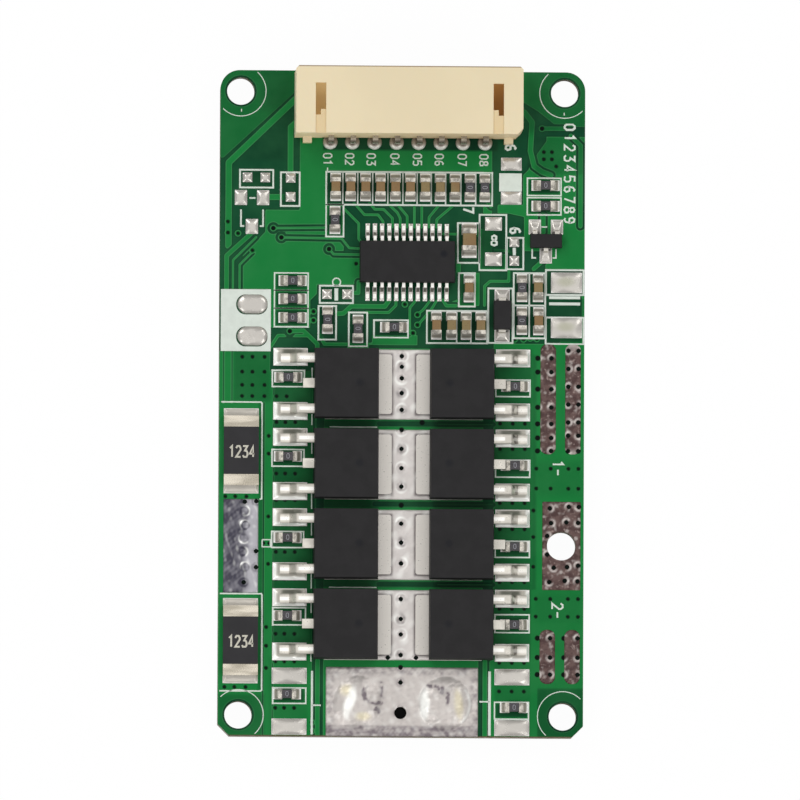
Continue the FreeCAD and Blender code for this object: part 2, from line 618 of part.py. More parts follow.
def make_mosfets():
    """Eight power transistors in four rows, back to back with their tabs on shared lands."""
    tab = mosfet_tab()
    leg = gull_wing("mosfet_leg", "(Sizes.leg_rise + Sizes.leg_thick / 2)",
                    "(Sizes.leg_thick / 2)", "Sizes.leg_shoulder", "Sizes.leg_slope",
                    "Sizes.leg_foot", "Sizes.leg_thick", "Sizes.leg_wid", "Sizes.leg_root",
                    bend="Sizes.leg_bend")
    legs = [link_at(leg, f"mosfet_leg_{side}", ("Sizes.mosfet_len", f"{side} * Sizes.leg_spread",
                                                0), "0") for side in (-1, 1)]
    frame = joined("mosfet_frame", [tab] + legs)
    block = moulded_block("mosfet_block", "Sizes.mosfet_len", "Sizes.mosfet_wid",
                          "Sizes.mosfet_height", "(Sizes.leg_rise + Sizes.leg_thick / 2)",
                          "Sizes.mosfet_draft")
    case = cut("mosfet_case", block, [frame])
    number = 0
    for row_number in range(1, 5):
        for side, turn in ((-1, 180), (1, 0)):
            number += 1
            spot = (f"Sizes.pair_offset + {side} * Sizes.drain_gap / 2", row_y(row_number), turn)
            copies(f"mosfet_body_{number}", case, [spot], LAND_TOP)
            copies(f"mosfet_frame_{number}", frame, [spot], LAND_TOP)
    pads = []
    for row_number in range(1, 5):
        for side in (-1, 1):
            for lane in (-1, 1):
                pads.append((f"{side} * {LEG_PAD_X}",
                             f"{row_y(row_number)} + {lane} * Sizes.leg_pad_lane", 0))
    master = pad_box("mosfet_pad", "Sizes.leg_pad_len", "Sizes.leg_pad_wid")
    copies("mosfet_pads", master, pads, BOARD_TOP)


def mosfet_tab():
    """Heat-spreader tab, bevelled at its open end, with the middle lead's cut stub."""
    body = new_body("mosfet_tab")
    plan = new_sketch(body, "mosfet_tab_plan", "XY_Plane")
    half, end = "Sizes.tab_wid / 2", "-Sizes.tab_reach"
    draw_polygon(plan, [
        (end, f"{half} - Sizes.tab_bevel"), (f"{end} + Sizes.tab_bevel", half),
        ("Sizes.tab_inside", half), ("Sizes.tab_inside", f"-{half}"),
        (f"{end} + Sizes.tab_bevel", f"-{half}"), (end, f"Sizes.tab_bevel - {half}"),
    ])
    pad(body, plan, "Sizes.leg_thick")
    side = new_sketch(body, "mosfet_stub_side", "XZ_Plane")
    rise, top = "Sizes.leg_rise", "Sizes.leg_rise + Sizes.leg_thick"
    inside = "Sizes.tab_inside"
    draw_polygon(side, [
        (f"{inside} - Sizes.leg_thick", "0"), (inside, "0"),
        (f"{inside} + Sizes.leg_thick", rise), ("Sizes.mosfet_len + Sizes.stub_reach", rise),
        ("Sizes.mosfet_len + Sizes.stub_reach", top),
        (f"{inside} + Sizes.leg_thick / 3", top),
        (f"{inside} - Sizes.leg_thick", "Sizes.leg_thick"),
    ])
    pad(body, side, "Sizes.leg_wid", centred=True)
    return body


def make_land(label, wide, tall, spot, holes=(), corner=None):
    """Flat land with round holes; hole places are counted from the land's middle."""
    name = label.replace("-", "_")
    body = new_body(f"{name}_body")
    plan = new_sketch(body, f"{name}_plan", "XY_Plane")
    draw_box(plan, wide, tall)
    for across, along, diameter in holes:
        draw_circle(plan, across, along, diameter)
    pad(body, plan, "Sizes.land_thick")
    if corner:
        x, y = size_of(wide) / 2, size_of(tall) / 2
        dress(body, "Fillet", corner, upright_at([(-x, -y), (-x, y), (x, -y), (x, y)]))
    seat(body, spot[0], spot[1], BOARD_TOP)
    return body


def make_power_lands():
    """Lands under the power transistors, at both long edges and at the far edge."""
    length = "(Sizes.drain_gap + 2 * (Sizes.mosfet_len - Sizes.drain_land_end))"
    for number in range(1, 5):
        body = make_land(f"drain_land_{number}", length, "Sizes.drain_land_wid",
                         ("Sizes.pair_offset", row_y(number)))
        node(body, f"drain_land_{number}")
    node(make_land("minus_land", "Sizes.minus_land_wid", "Sizes.minus_land_len",
                   (COLUMN_X, row_y(3)), [("0", "0", "Sizes.minus_hole")]), "minus_land")
    upper_end = f"({UPPER_SHUNT_Y} - {SHUNT_PAD_Y} - Sizes.shunt_land / 2)"
    lower_end = f"({LOWER_SHUNT_Y} + {SHUNT_PAD_Y} + Sizes.shunt_land / 2)"
    tall = f"({upper_end} - {lower_end} - 2 * Sizes.land_gap)"
    node(make_land("sense_land", "Sizes.shunt_wid", tall,
                   (f"-{COLUMN_X}", f"({upper_end} + {lower_end}) / 2")),
         "sense_land")
    bottom_y = f"(Sizes.bottom_len / 2 - {HALF_LENGTH})"
    wide = ("(Sizes.bottom_len * Sizes.bottom_land_wid"
            " / (Sizes.bottom_land_wid + 2 * Sizes.bottom_land_edge))")
    long = (f"({length} * Sizes.bottom_land_len"
            " / (Sizes.bottom_land_len + Sizes.bottom_land_side))")
    node(make_land("bottom_land", long, wide,
                   ("Sizes.bottom_land_offset", bottom_y),
                   [("-Sizes.bottom_land_offset", f"{BOTTOM_HOLE_Y} - {bottom_y}",
                     "Sizes.bottom_hole")]),
         "bottom_land")
    make_strips()
    make_bottom_solder(bottom_y)


def make_strips():
    """Round-ended bare strips in the right-hand column, above and below the minus land."""
    strips = []
    for name, length, along in (
        ("upper", "Sizes.upper_strip_len", f"({row_y(1)} - Sizes.upper_strip_drop)"),
        ("lower", "Sizes.lower_strip_len", f"({row_y(4)} - Sizes.lower_strip_drop)"),
    ):
        for side in (-1, 1):
            strips.append(make_land(
                f"{name}_strip_{side + 2}", "Sizes.strip_wid", length,
                (f"{COLUMN_X} - Sizes.strip_inset + {side} * Sizes.strip_split", along),
                corner="Sizes.strip_wid * 0.45"))
    node(joined("bare_strips", strips), "bare_strips")


def dome(name, diameter, height):
    """Round cap of solder: a steep rim, a sloping shoulder and a flat crown, turned
    about its axis."""
    body = new_body(name)
    profile = new_sketch(body, f"{name}_profile", "XZ_Plane")
    draw_polygon(profile, [("0", "0"), (f"{diameter} / 2", "0"),
                           (f"{diameter} * 0.4", f"{height} * 0.55"),
                           (f"{diameter} * 0.22", f"{height} * 0.9"), ("0", height)])
    revolve(body, profile)
    return body


def make_bottom_solder(bottom_y):
    """Two large caps of solder on the bottom land."""
    round_cap = dome("solder_dome", "Sizes.dome_wid", "Sizes.dome_height")
    flat_cap = dome("solder_puddle", "Sizes.puddle_wid", "Sizes.puddle_height")
    caps = [link_at(round_cap, "dome_place", ("Sizes.dome_offset", bottom_y, 0), LAND_TOP),
            link_at(flat_cap, "puddle_place", ("-Sizes.puddle_offset", bottom_y, 0), LAND_TOP)]
    node(joined("bottom_solder", caps), "bottom_solder")


def chip_blocks(name, length, width, height, end, wrap):
    """Body and tinned ends of one small chip; its length lies along X. The body stands
    in by the thickness of the tinning all round."""
    body = new_body(f"{name}_core_shape")
    plan = new_sketch(body, f"{name}_core_plan", "XY_Plane", wrap)
    draw_box(plan, f"({length} - 2 * {end})", f"({width} - 2 * {wrap})")
    pad(body, plan, f"{height} - 2 * {wrap}")
    ends = new_body(f"{name}_ends_shape")
    blocks = new_sketch(ends, f"{name}_ends_plan", "XY_Plane")
    for side in (-1, 1):
        draw_box(blocks, end, width, across=f"{side} * ({length} - {end}) / 2")
    pad(ends, blocks, height)
    return body, ends


def chip_pair(name, length, width, height, end, wrap):
    """Body and wrapped ends of one flat chip part, open at its sides; its length
    lies along X and runs through to the inside of both ends."""
    body = new_body(f"{name}_core_shape")
    plan = new_sketch(body, f"{name}_core_plan", "XY_Plane", wrap)
    draw_box(plan, f"({length} - 2 * {wrap})", width)
    pad(body, plan, f"{height} - 2 * {wrap}")
    ends = new_body(f"{name}_ends_shape")
    blocks = new_sketch(ends, f"{name}_ends_plan", "XY_Plane")
    for side in (-1, 1):
        draw_box(blocks, end, width, across=f"{side} * ({length} - {end}) / 2")
    pad(ends, blocks, height)
    room = new_sketch(ends, f"{name}_ends_room", "XY_Plane", wrap)
    draw_box(room, f"({length} - 2 * {wrap})", width)
    pocket(ends, room, f"{height} - 2 * {wrap}", reverse=True)
    return body, ends


UPRIGHT, LEVEL = 90, 0
TRANSISTOR_X, DIODE_X, SLOT_X = 12.98, 9.05, -13.52
POWER_END = f"({HEADER_REAR} - Sizes.control_len - 4 * {ROW_PITCH})"

# Places of the small chips: across, the name of the place along the board, how far they
# stand above it, and the way that each one lies.
CAPACITOR_PLACES = [
    (12.3, "right_chip_3", 0.0, UPRIGHT), (12.34, "right_chip_4", 0.0, UPRIGHT),
    (3.11, "low_chips", 0.0, UPRIGHT), (4.47, "low_chips", 0.0, UPRIGHT),
    (5.8, "low_chips", 0.0, UPRIGHT), (7.12, "low_chips", 0.0, UPRIGHT),
]
RESISTOR_PLACES = [
    (-6.1, "left_chip", 0.0, UPRIGHT), (-9.9, "sense_chip_1", 0.0, LEVEL),
    (-9.9, "sense_chip_2", 0.0, LEVEL), (-9.9, "sense_chip_3", 0.0, LEVEL),
    (-6.73, "left_low_chip", 0.0, UPRIGHT), (-3.98, "low_chips", -0.35, UPRIGHT),
    (-0.7, "low_chips", -0.18, LEVEL), (12.94, "right_chip_1", 0.0, LEVEL),
    (12.94, "right_chip_2", 0.0, LEVEL), (10.84, "inner_chip_1", 0.0, UPRIGHT),
    (10.84, "inner_chip_2", 0.0, UPRIGHT),
]
# The header's row of chips: how many of each kind, with its middle across the board.
ROW_CAPACITORS, ROW_RESISTORS, ROW_MIDDLE = 9, 2, 0.7
# Gate resistors, along from the middle of each row, on the left and on the right.
GATE_ALONG = {-1: (0.6, 0.7, 0.6, 0.8), 1: (-0.1, 0.0, -0.1, 0.1)}

# The supply capacitor and the chip below it share the room beside the control chip.
CONTROLLER_EDGE = "(Sizes.controller_offset + Sizes.controller_len / 2)"
BULK_X = (f"({CONTROLLER_EDGE} + 0.47 * ({zone_x(8.24)} - Sizes.spare_pad_wid / 2"
          f" - {CONTROLLER_EDGE}))")
BULK_SPOT = (BULK_X, zone_y("bulk"), UPRIGHT)
BULK_CHIP_SPOT = (BULK_X, zone_y("bulk_chip"), UPRIGHT)


def chip_spot(across, name, lift, turn):
    return (zone_x(across), zone_y(name, lift), turn)


def row_spots(first, count):
    """Neighbours in the row behind the header, one chip pitch apart."""
    middle = (ROW_CAPACITORS + ROW_RESISTORS - 1) / 2
    return [(f"{ROW_MIDDLE} + {n - middle} * {CHIP_PITCH}", zone_y("chip_row"), UPRIGHT)
            for n in range(first, first + count)]


def gate_spots():
    """One gate resistor between the leg lands of each power transistor, and one more
    at the far end of both columns."""
    spots = []
    for side, far_column in ((-1, FAR_LEFT), (1, FAR_RIGHT)):
        across = f"{side} * ({LEG_PAD_X} + Sizes.gate_offset)"
        for number in range(1, 5):
            spots.append((across, f"{row_y(number)} + {GATE_ALONG[side][number - 1]}", LEVEL))
        spots.append((across, f"{POWER_END} + {far_column['chip']}", LEVEL))
    return spots


def make_chips():
    """Small chip capacitors and resistors with their lands."""
    capacitors = [chip_spot(*place) for place in CAPACITOR_PLACES] + [BULK_CHIP_SPOT]
    capacitors += row_spots(0, ROW_CAPACITORS)
    resistors = ([chip_spot(*place) for place in RESISTOR_PLACES]
                 + row_spots(ROW_CAPACITORS, ROW_RESISTORS) + gate_spots())
    core, ends = chip_blocks("capacitor", "Sizes.chip_len", "Sizes.chip_wid",
                             "Sizes.capacitor_height", "Sizes.chip_end", "Sizes.chip_wrap")
    copies("capacitor_bodies", core, capacitors, LAND_TOP)
    copies("capacitor_ends", ends, capacitors, LAND_TOP)
    core, ends = chip_blocks("resistor", "Sizes.chip_len", "Sizes.chip_wid",
                             "Sizes.resistor_height", "Sizes.chip_end", "Sizes.chip_wrap")
    copies("resistor_bodies", core, resistors, LAND_TOP)
    copies("resistor_ends", ends, resistors, LAND_TOP)
    lands = new_body("chip_lands")
    plan = new_sketch(lands, "chip_lands_plan", "XY_Plane")
    for side in (-1, 1):
        draw_box(plan, "Sizes.chip_pad_len", CHIP_ACROSS,
                 across=f"{side} * (Sizes.chip_len / 2 + Sizes.chip_pad_out)")
    pad(lands, plan, "Sizes.land_thick")
    placed = [link_at(lands, f"chip_lands_{number}", spot, BOARD_TOP)
              for number, spot in enumerate(capacitors + resistors, 1)]
    placed.append(link_at(make_bulk_capacitor(), "bulk_lands_place", BULK_SPOT, BOARD_TOP))
    node(joined("chip_pads", placed), "chip_pads")


def make_bulk_capacitor():
    """The larger supply capacitor beside the control chip; returns its pair of lands."""
    core, ends = chip_blocks("bulk", "Sizes.bulk_len", "Sizes.bulk_wid", "Sizes.bulk_height",
                             "Sizes.bulk_end", "Sizes.chip_wrap")
    copies("supply_capacitor_body", core, [BULK_SPOT], LAND_TOP)
    copies("supply_capacitor_ends", ends, [BULK_SPOT], LAND_TOP)
    lands = new_body("bulk_lands")
    plan = new_sketch(lands, "bulk_lands_plan", "XY_Plane")
    for side in (-1, 1):
        draw_box(plan, "Sizes.bulk_pad_len", "(Sizes.bulk_wid + 2 * Sizes.chip_pad_side)",
                 across=f"{side} * (Sizes.bulk_len / 2 + Sizes.chip_pad_out)")
    pad(lands, plan, "Sizes.land_thick")
    return lands


def make_shunts():
    """Two current-sense resistors with wrapped metal ends on wide lands."""
    core, ends = chip_pair("shunt", "Sizes.shunt_len", "Sizes.shunt_wid", "Sizes.shunt_height",
                           "Sizes.shunt_end", "Sizes.shunt_wrap")
    lands = new_body("shunt_lands")
    plan = new_sketch(lands, "shunt_lands_plan", "XY_Plane")
    for side in (-1, 1):
        draw_box(plan, "Sizes.shunt_land", "Sizes.shunt_wid", across=f"{side} * {SHUNT_PAD_Y}")
    pad(lands, plan, "Sizes.land_thick")
    spots = [(f"-{COLUMN_X}", UPPER_SHUNT_Y, UPRIGHT), (f"-{COLUMN_X}", LOWER_SHUNT_Y, UPRIGHT)]
    for number, spot in enumerate(spots, 1):
        copies(f"sense_resistor_body_{number}", core, [spot], LAND_TOP)
        copies(f"sense_resistor_ends_{number}", ends, [spot], LAND_TOP)
    copies("sense_resistor_pads", lands, spots, BOARD_TOP)


def make_transistor():
    """Small three-leg transistor: two legs towards the header, one away from it."""
    parting = "Sizes.transistor_height / 2"
    block = moulded_block("transistor", "Sizes.transistor_wid", "Sizes.transistor_len",
                          "Sizes.transistor_height", parting, "Sizes.controller_draft")
    middle, across = zone_y("transistor"), zone_x(TRANSISTOR_X)
    spot = (across, f"{middle} - Sizes.transistor_wid / 2", UPRIGHT)
    copies("transistor_body", block, [spot], LAND_TOP)
    leg = gull_wing("transistor_leg", parting, "(Sizes.small_leg_thick / 2)",
                    "Sizes.transistor_leg_out * 0.35", "Sizes.transistor_leg_out * 0.3",
                    "Sizes.transistor_leg_out * 0.5", "Sizes.small_leg_thick",
                    "Sizes.transistor_leg_wid", "0")
    upper = f"{middle} + Sizes.transistor_wid / 2"
    lower = f"{middle} - Sizes.transistor_wid / 2"
    legs = [(f"{across} - Sizes.transistor_spread", upper, 90),
            (f"{across} + Sizes.transistor_spread", upper, 90), (across, lower, -90)]
    copies("transistor_legs", leg, legs, LAND_TOP)


def make_diode():
    """Small two-leg diode with flat legs under its ends."""
    parting = "Sizes.diode_height / 2"
    block = moulded_block("diode", "Sizes.diode_len", "Sizes.diode_wid", "Sizes.diode_height",
                          parting, "Sizes.controller_draft")
    centre, across = zone_y("diode"), zone_x(DIODE_X)
    copies("diode_body", block, [(across, f"{centre} - Sizes.diode_len / 2", UPRIGHT)], LAND_TOP)
    leg = gull_wing("diode_leg", parting, "(Sizes.small_leg_thick / 2)",
                    "Sizes.diode_leg_out * 0.25", "Sizes.diode_leg_out * 0.2",
                    "Sizes.diode_leg_out * 0.6", "Sizes.small_leg_thick",
                    "Sizes.diode_leg_wid", "0")
    legs = [(across, f"{centre} + Sizes.diode_len / 2", 90),
            (across, f"{centre} - Sizes.diode_len / 2", -90)]
    copies("diode_legs", leg, legs, LAND_TOP)


# Lands that stay empty: name, length, width, and the places of each.
SPARE_LANDS = {
    "resistor": ("Sizes.chip_pad_len", "Sizes.chip_pad_len", [
        (-14.03, "edge_spare"), (-12.41, "edge_spare"), (-10.12, "spare_pair_upper"),
        (-10.12, "spare_pair_lower"), (-6.8, "left_spare"), (-4.97, "left_spare"),
        (10.13, "spare_upper"), (10.13, "spare_lower")]),
    "diode": ("Sizes.spare_pad_wid", "Sizes.spare_pad_len", [
        (8.24, "diode_spare_upper"), (8.24, "diode_spare_lower")]),
    "lamp": ("Sizes.lamp_pad_wid", "Sizes.lamp_pad_len", [
        (9.83, "lamp_upper"), (9.83, "lamp_lower")]),
    "terminal": ("Sizes.terminal_wid", "Sizes.terminal_len", [
        (14.87, "terminal_upper"), (14.87, "terminal_lower")]),
}
SPARE_TRANSISTOR_X = -13.61


def make_small_lands():
    """Empty lands of unfitted parts, the legs' lands and the four output lands."""
    placed = []
    for name, (length, width, places) in SPARE_LANDS.items():
        master = pad_box(f"{name}_pad", length, width)
        for number, (across, along) in enumerate(places, 1):
            placed.append(link_at(master, f"{name}_land_{number}",
                                  (zone_x(across), zone_y(along), 0), BOARD_TOP))
    leg_land = pad_box("transistor_pad", "Sizes.small_pad_wid", "Sizes.small_pad_len")
    for name, across in (("transistor", TRANSISTOR_X), ("transistor_spare", SPARE_TRANSISTOR_X)):
        for number, (side, end) in enumerate(((-1, 1), (1, 1), (0, -1)), 1):
            spot = (f"{zone_x(across)} + {side} * Sizes.transistor_spread",
                    f"{zone_y(name)} + {end} * {TRANSISTOR_REACH}", 0)
            placed.append(link_at(leg_land, f"{name}_land_{number}", spot, BOARD_TOP))
    diode_land = pad_box("diode_leg_pad", "Sizes.diode_pad_wid", "Sizes.diode_pad_len")
    output = pad_box("output_pad", "Sizes.output_pad_len", "Sizes.output_pad_wid")
    for side, far_column in ((-1, FAR_LEFT), (1, FAR_RIGHT)):
        spot = (zone_x(DIODE_X), f"{zone_y('diode')} + {side} * {DIODE_REACH}", 0)
        placed.append(link_at(diode_land, f"diode_land_{side + 2}", spot, BOARD_TOP))
        for name in ("near", "far"):
            spot = (f"{side} * {LEG_PAD_X}", f"{POWER_END} + {far_column[name]}", 0)
            placed.append(link_at(output, f"output_{name}_{side + 2}", spot, BOARD_TOP))
    node(joined("spare_lands", placed), "spare_lands")


def make_slot_lands():
    """Two oval lands in the printed block at the left edge, each filled with solder."""
    body = new_body("slot_solder_shape")
    plan = new_sketch(body, "slot_solder_plan", "XY_Plane")
    draw_box(plan, "Sizes.slot_land_len", "Sizes.slot_land_wid")
    pad(body, plan, "Sizes.slot_dome")
    x, y = size_of("Sizes.slot_land_len / 2"), size_of("Sizes.slot_land_wid / 2")
    dress(body, "Fillet", "Sizes.slot_land_wid * 0.49",
          upright_at([(-x, -y), (-x, y), (x, -y), (x, y)]))
    places = [(zone_x(SLOT_X), zone_y(name), 0) for name in ("slot_upper", "slot_lower")]
    copies("slot_solder", body, places, BOARD_TOP)


def check_and_write():
    """Refuse a failed object, then write one file for each piece."""
    doc.recompute()
    for thing in doc.Objects:
        if {"Invalid", "Error"} & set(thing.State):
            raise RuntimeError(f"{thing.Name} failed: {thing.State}")
    os.makedirs("parts", exist_ok=True)
    for piece in NODES:
        shape = piece.Shape
        if shape.isNull() or not shape.isValid() or not shape.Solids:
            raise RuntimeError(f"{piece.Label} has no sound shape")
        shape.exportStep(f"parts/{piece.Label}.step")


make_board()
make_housing()
make_pins()
make_controller()
make_mosfets()
make_power_lands()
make_chips()
make_shunts()
make_transistor()
make_diode()
make_small_lands()
make_slot_lands()
check_and_write()
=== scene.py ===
import json
import math

import bpy
import numpy as np
from bpy.props import FloatProperty, FloatVectorProperty, PointerProperty
from mathutils import Matrix, Vector


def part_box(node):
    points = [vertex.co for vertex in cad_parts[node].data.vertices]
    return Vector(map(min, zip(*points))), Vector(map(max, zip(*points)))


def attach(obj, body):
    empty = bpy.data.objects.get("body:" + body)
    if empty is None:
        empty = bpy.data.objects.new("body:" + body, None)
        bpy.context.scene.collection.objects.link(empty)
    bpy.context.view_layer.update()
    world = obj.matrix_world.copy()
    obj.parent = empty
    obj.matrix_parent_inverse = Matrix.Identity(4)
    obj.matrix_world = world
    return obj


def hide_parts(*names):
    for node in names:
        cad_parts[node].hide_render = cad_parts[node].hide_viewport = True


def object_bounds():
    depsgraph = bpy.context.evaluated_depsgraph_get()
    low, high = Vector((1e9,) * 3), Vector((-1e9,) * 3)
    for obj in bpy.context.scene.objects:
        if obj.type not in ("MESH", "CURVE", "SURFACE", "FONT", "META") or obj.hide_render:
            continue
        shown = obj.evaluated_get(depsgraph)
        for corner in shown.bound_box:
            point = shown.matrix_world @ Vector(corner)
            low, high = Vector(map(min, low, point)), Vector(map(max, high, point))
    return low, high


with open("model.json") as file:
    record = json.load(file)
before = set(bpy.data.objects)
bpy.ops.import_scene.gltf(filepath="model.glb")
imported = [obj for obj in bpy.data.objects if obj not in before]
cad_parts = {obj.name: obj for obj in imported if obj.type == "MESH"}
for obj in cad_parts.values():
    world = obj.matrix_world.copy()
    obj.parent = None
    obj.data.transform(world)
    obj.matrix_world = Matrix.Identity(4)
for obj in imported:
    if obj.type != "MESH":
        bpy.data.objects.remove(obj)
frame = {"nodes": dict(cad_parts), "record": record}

CAD_BOX = [list(corner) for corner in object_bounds()]

bl_info = {
    "name": "Battery management board dress",
    "version": (1, 0, 0),
    "blender": (4, 5, 0),
    "location": "3D View > Sidebar > Board",
    "description": "Copper pattern, print, solder and finishes of a battery management board",
    "category": "Object",
}

MM = 0.001


def corners_mm(node):
    """Lowest and highest corner of a node, in millimetres."""
    low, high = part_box(node)
    return np.array(low) / MM, np.array(high) / MM


def middle_of(box):
    """Middle of a box, seen from above."""
    low, high = box
    return (low[0] + high[0]) / 2, (low[1] + high[1]) / 2


def plan(box):
    """Left, right, near and far edge of a box."""
    low, high = box
    return low[0], high[0], low[1], high[1]


def meets(first, second):
    """Whether two boxes overlap, seen from above."""
    (low, high), (a, b) = first, second
    return a[0] < high[0] and b[0] > low[0] and a[1] < high[1] and b[1] > low[1]


HALF_WIDTH, HALF_LENGTH, BOARD_TOP = [float(edge) for edge in corners_mm("circuit_board")[1]]
LAND_TOP = float(corners_mm("bottom_land")[1][2])
MOUNTS = {mount["name"]: mount for mount in frame["record"]["mounts"]}
SCREW_DIMS = MOUNTS["mount_holes"]["dims"]
SCREWS = [(side * SCREW_DIMS["spacing_x_mm"] / 2, end * SCREW_DIMS["spacing_y_mm"] / 2)
          for side in (-1, 1) for end in (-1, 1)]
MINUS_HOLE = (*[value / MM for value in MOUNTS["minus_hole"]["pos_m"][:2]],
              MOUNTS["minus_hole"]["dims"]["r_mm"])
WIRE_HOLE, WIRE_HOLE_R = (0.0, -28.0), 0.55
CORNER_R, CORNER_BEVEL = 1.75, 1.05
LEG_LANE = 2.3
MOSFETS = [corners_mm(f"mosfet_body_{number}") for number in range(1, 9)]
FRAMES = [corners_mm(f"mosfet_frame_{number}") for number in range(1, 9)]
ROWS = [float(middle_of(box)[1]) for box in MOSFETS[::2]]


def tint(red, green, blue):
    """Linear colour of three display levels from 0 to 255."""
    levels = np.array([red, green, blue]) / 255.0
    return tuple(float(v) for v in np.where(levels <= 0.04045, levels / 12.92,
                                            ((levels + 0.055) / 1.055) ** 2.4))


def colour_setting(name, description, *levels):
    """Colour property from display levels."""
    return FloatVectorProperty(name=name, description=description, subtype="COLOR",
                               default=tint(*levels))


def length_setting(name, description, length):
    """Length property in millimetres."""
    return FloatProperty(name=name, description=description, default=length * MM, unit="LENGTH")


class BoardColours(bpy.types.PropertyGroup):
    """Colours of the board's finishes."""
    mask_copper: colour_setting(
        "Mask over copper", "Green of the solder mask where copper lies under it", 20, 117, 54)
    mask_bare: colour_setting(
        "Mask over laminate", "Green of the solder mask on the bare laminate", 8, 66, 40)
    # Painted highlight: paler green along the copper's shoulder, where an edge would catch the
    # light; the mask's paler clouds take this green too.
    mask_highlight_and_cloud: colour_setting(
        "Copper edge", "Paler green along the shoulder of the copper", 74, 146, 92)
    print_ink: colour_setting("Print", "White component print", 213, 221, 212)
    header: colour_setting("Header", "Cream plastic of the header", 229, 214, 180)
    epoxy: colour_setting("Epoxy", "Dark moulding of the chips", 39, 38, 39)
    tin: colour_setting("Tin", "Plated leads", 224, 219, 208)
    solder: colour_setting("Solder", "Bright solder", 226, 221, 213)


class BoardSizes(bpy.types.PropertyGroup):
    """Sizes of the layers that lie on the board."""
    copper: length_setting("Copper height", "Height of the etched copper under the mask", 0.035)
    grid: length_setting("Mask grid", "Spacing of the points of the mask surface", 0.12)
    print_line: length_setting("Print line", "Usual width of a printed line", 0.17)
    print_height: length_setting("Print height", "Thickness of the printed ink", 0.02)


# Meshes


def circle(cx, cy, radius, angles):
    """Points on a circle at some angles."""
    return np.column_stack([cx + radius * np.cos(angles), cy + radius * np.sin(angles)])


def all_round(count):
    """Angles at even steps round a circle."""
    return np.linspace(0, 2 * np.pi, count + 1)[:-1]


def put_mesh(name, points, faces, material, smooth=True, values=None):
    """Mesh object from points in millimetres and arrays of triangles or quads."""
    points = np.asarray(points, np.float64) * MM
    groups = [np.asarray(group, np.int32) for group in faces if len(group)]
    mesh = bpy.data.meshes.new(name)
    loops = np.concatenate([group.ravel() for group in groups])
    sizes = np.concatenate([np.full(len(group), group.shape[1]) for group in groups])
    mesh.vertices.add(len(points))
    mesh.vertices.foreach_set("co", points.astype(np.float32).ravel())
    mesh.loops.add(len(loops))
    mesh.loops.foreach_set("vertex_index", loops)
    mesh.polygons.add(len(sizes))
    starts = np.concatenate([[0], np.cumsum(sizes)[:-1]])
    mesh.polygons.foreach_set("loop_start", starts.astype(np.int32))
    mesh.polygons.foreach_set("use_smooth", np.full(len(sizes), smooth))
    mesh.update(calc_edges=True)
    mesh.validate()
    for label, field in (values or {}).items():
        layer = mesh.attributes.new(label, "FLOAT", "POINT")
        layer.data.foreach_set("value", np.asarray(field, np.float32).ravel())
    piece = bpy.data.objects.new(name, mesh)
    bpy.context.scene.collection.objects.link(piece)
    mesh.materials.append(material)
    return piece


class Heap:
    """Collects small closed surfaces into one mesh."""

    def __init__(self):
        self.points, self.faces, self.fields, self.count = [], {}, [], 0

    def add(self, points, groups, fields=None):
        """Add a surface with groups of faces and fields at its points."""
        points = np.asarray(points, float).reshape(-1, 3)
        for label, value in (fields or {}).items():
            self.fields.append((label, self.count, np.ravel(value)))
        for group in groups:
            group = np.asarray(group)
            self.faces.setdefault(group.shape[1], []).append(group + self.count)
        self.points.append(points)
        self.count += len(points)

    def finish(self, name, material, slot, smooth=True, looks=None):
        """Make the piece; looks give fields from the places of all points."""
        faces = [np.concatenate(groups) for groups in self.faces.values()]
        points = np.concatenate(self.points)
        values = {label: field(points[:, 0], points[:, 1])
                  for label, field in (looks or {}).items()}
        for label, start, value in self.fields:
            values.setdefault(label, np.zeros(len(points)))[start:start + len(value)] = value
        piece = put_mesh(name, points, faces, material, smooth, values)
        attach(piece, "root")
        return piece


def grid_faces(rows, columns):
    """Quads of a grid of points, wound so that they face up when rows run along +X
    and columns along +Y."""
    index = np.arange(rows * columns).reshape(rows, columns)
    return np.stack([index[:-1, :-1], index[1:, :-1], index[1:, 1:], index[:-1, 1:]],
                    axis=-1).reshape(-1, 4)


def capped_grid(across, along, height, floor):
    """Closed body between a height field and a flat floor: the top is the grid itself,
    the floor is the same grid pressed flat, and quads join both borders."""
    rows, columns = across.shape
    top = np.stack([across, along, height], -1).reshape(-1, 3)
    bottom = top.copy()
    bottom[:, 2] = floor
    faces = grid_faces(rows, columns)
    index = np.arange(rows * columns).reshape(rows, columns)
    border = np.concatenate([index[:-1, 0], index[-1, :-1], index[:0:-1, -1], index[0, :0:-1]])
    following = np.roll(border, -1)
    count = rows * columns
    wall = np.stack([border, border + count, following + count, following], -1)
    return np.concatenate([top, bottom]), [faces, faces[:, ::-1] + count, wall]


def spread(low, high, count):
    """Points that crowd towards both ends, for crisp shoulders."""
    share = np.linspace(0.0, 1.0, count)
    return low + (high - low) * (share - np.sin(2 * np.pi * share) / (2 * np.pi) * 0.55)


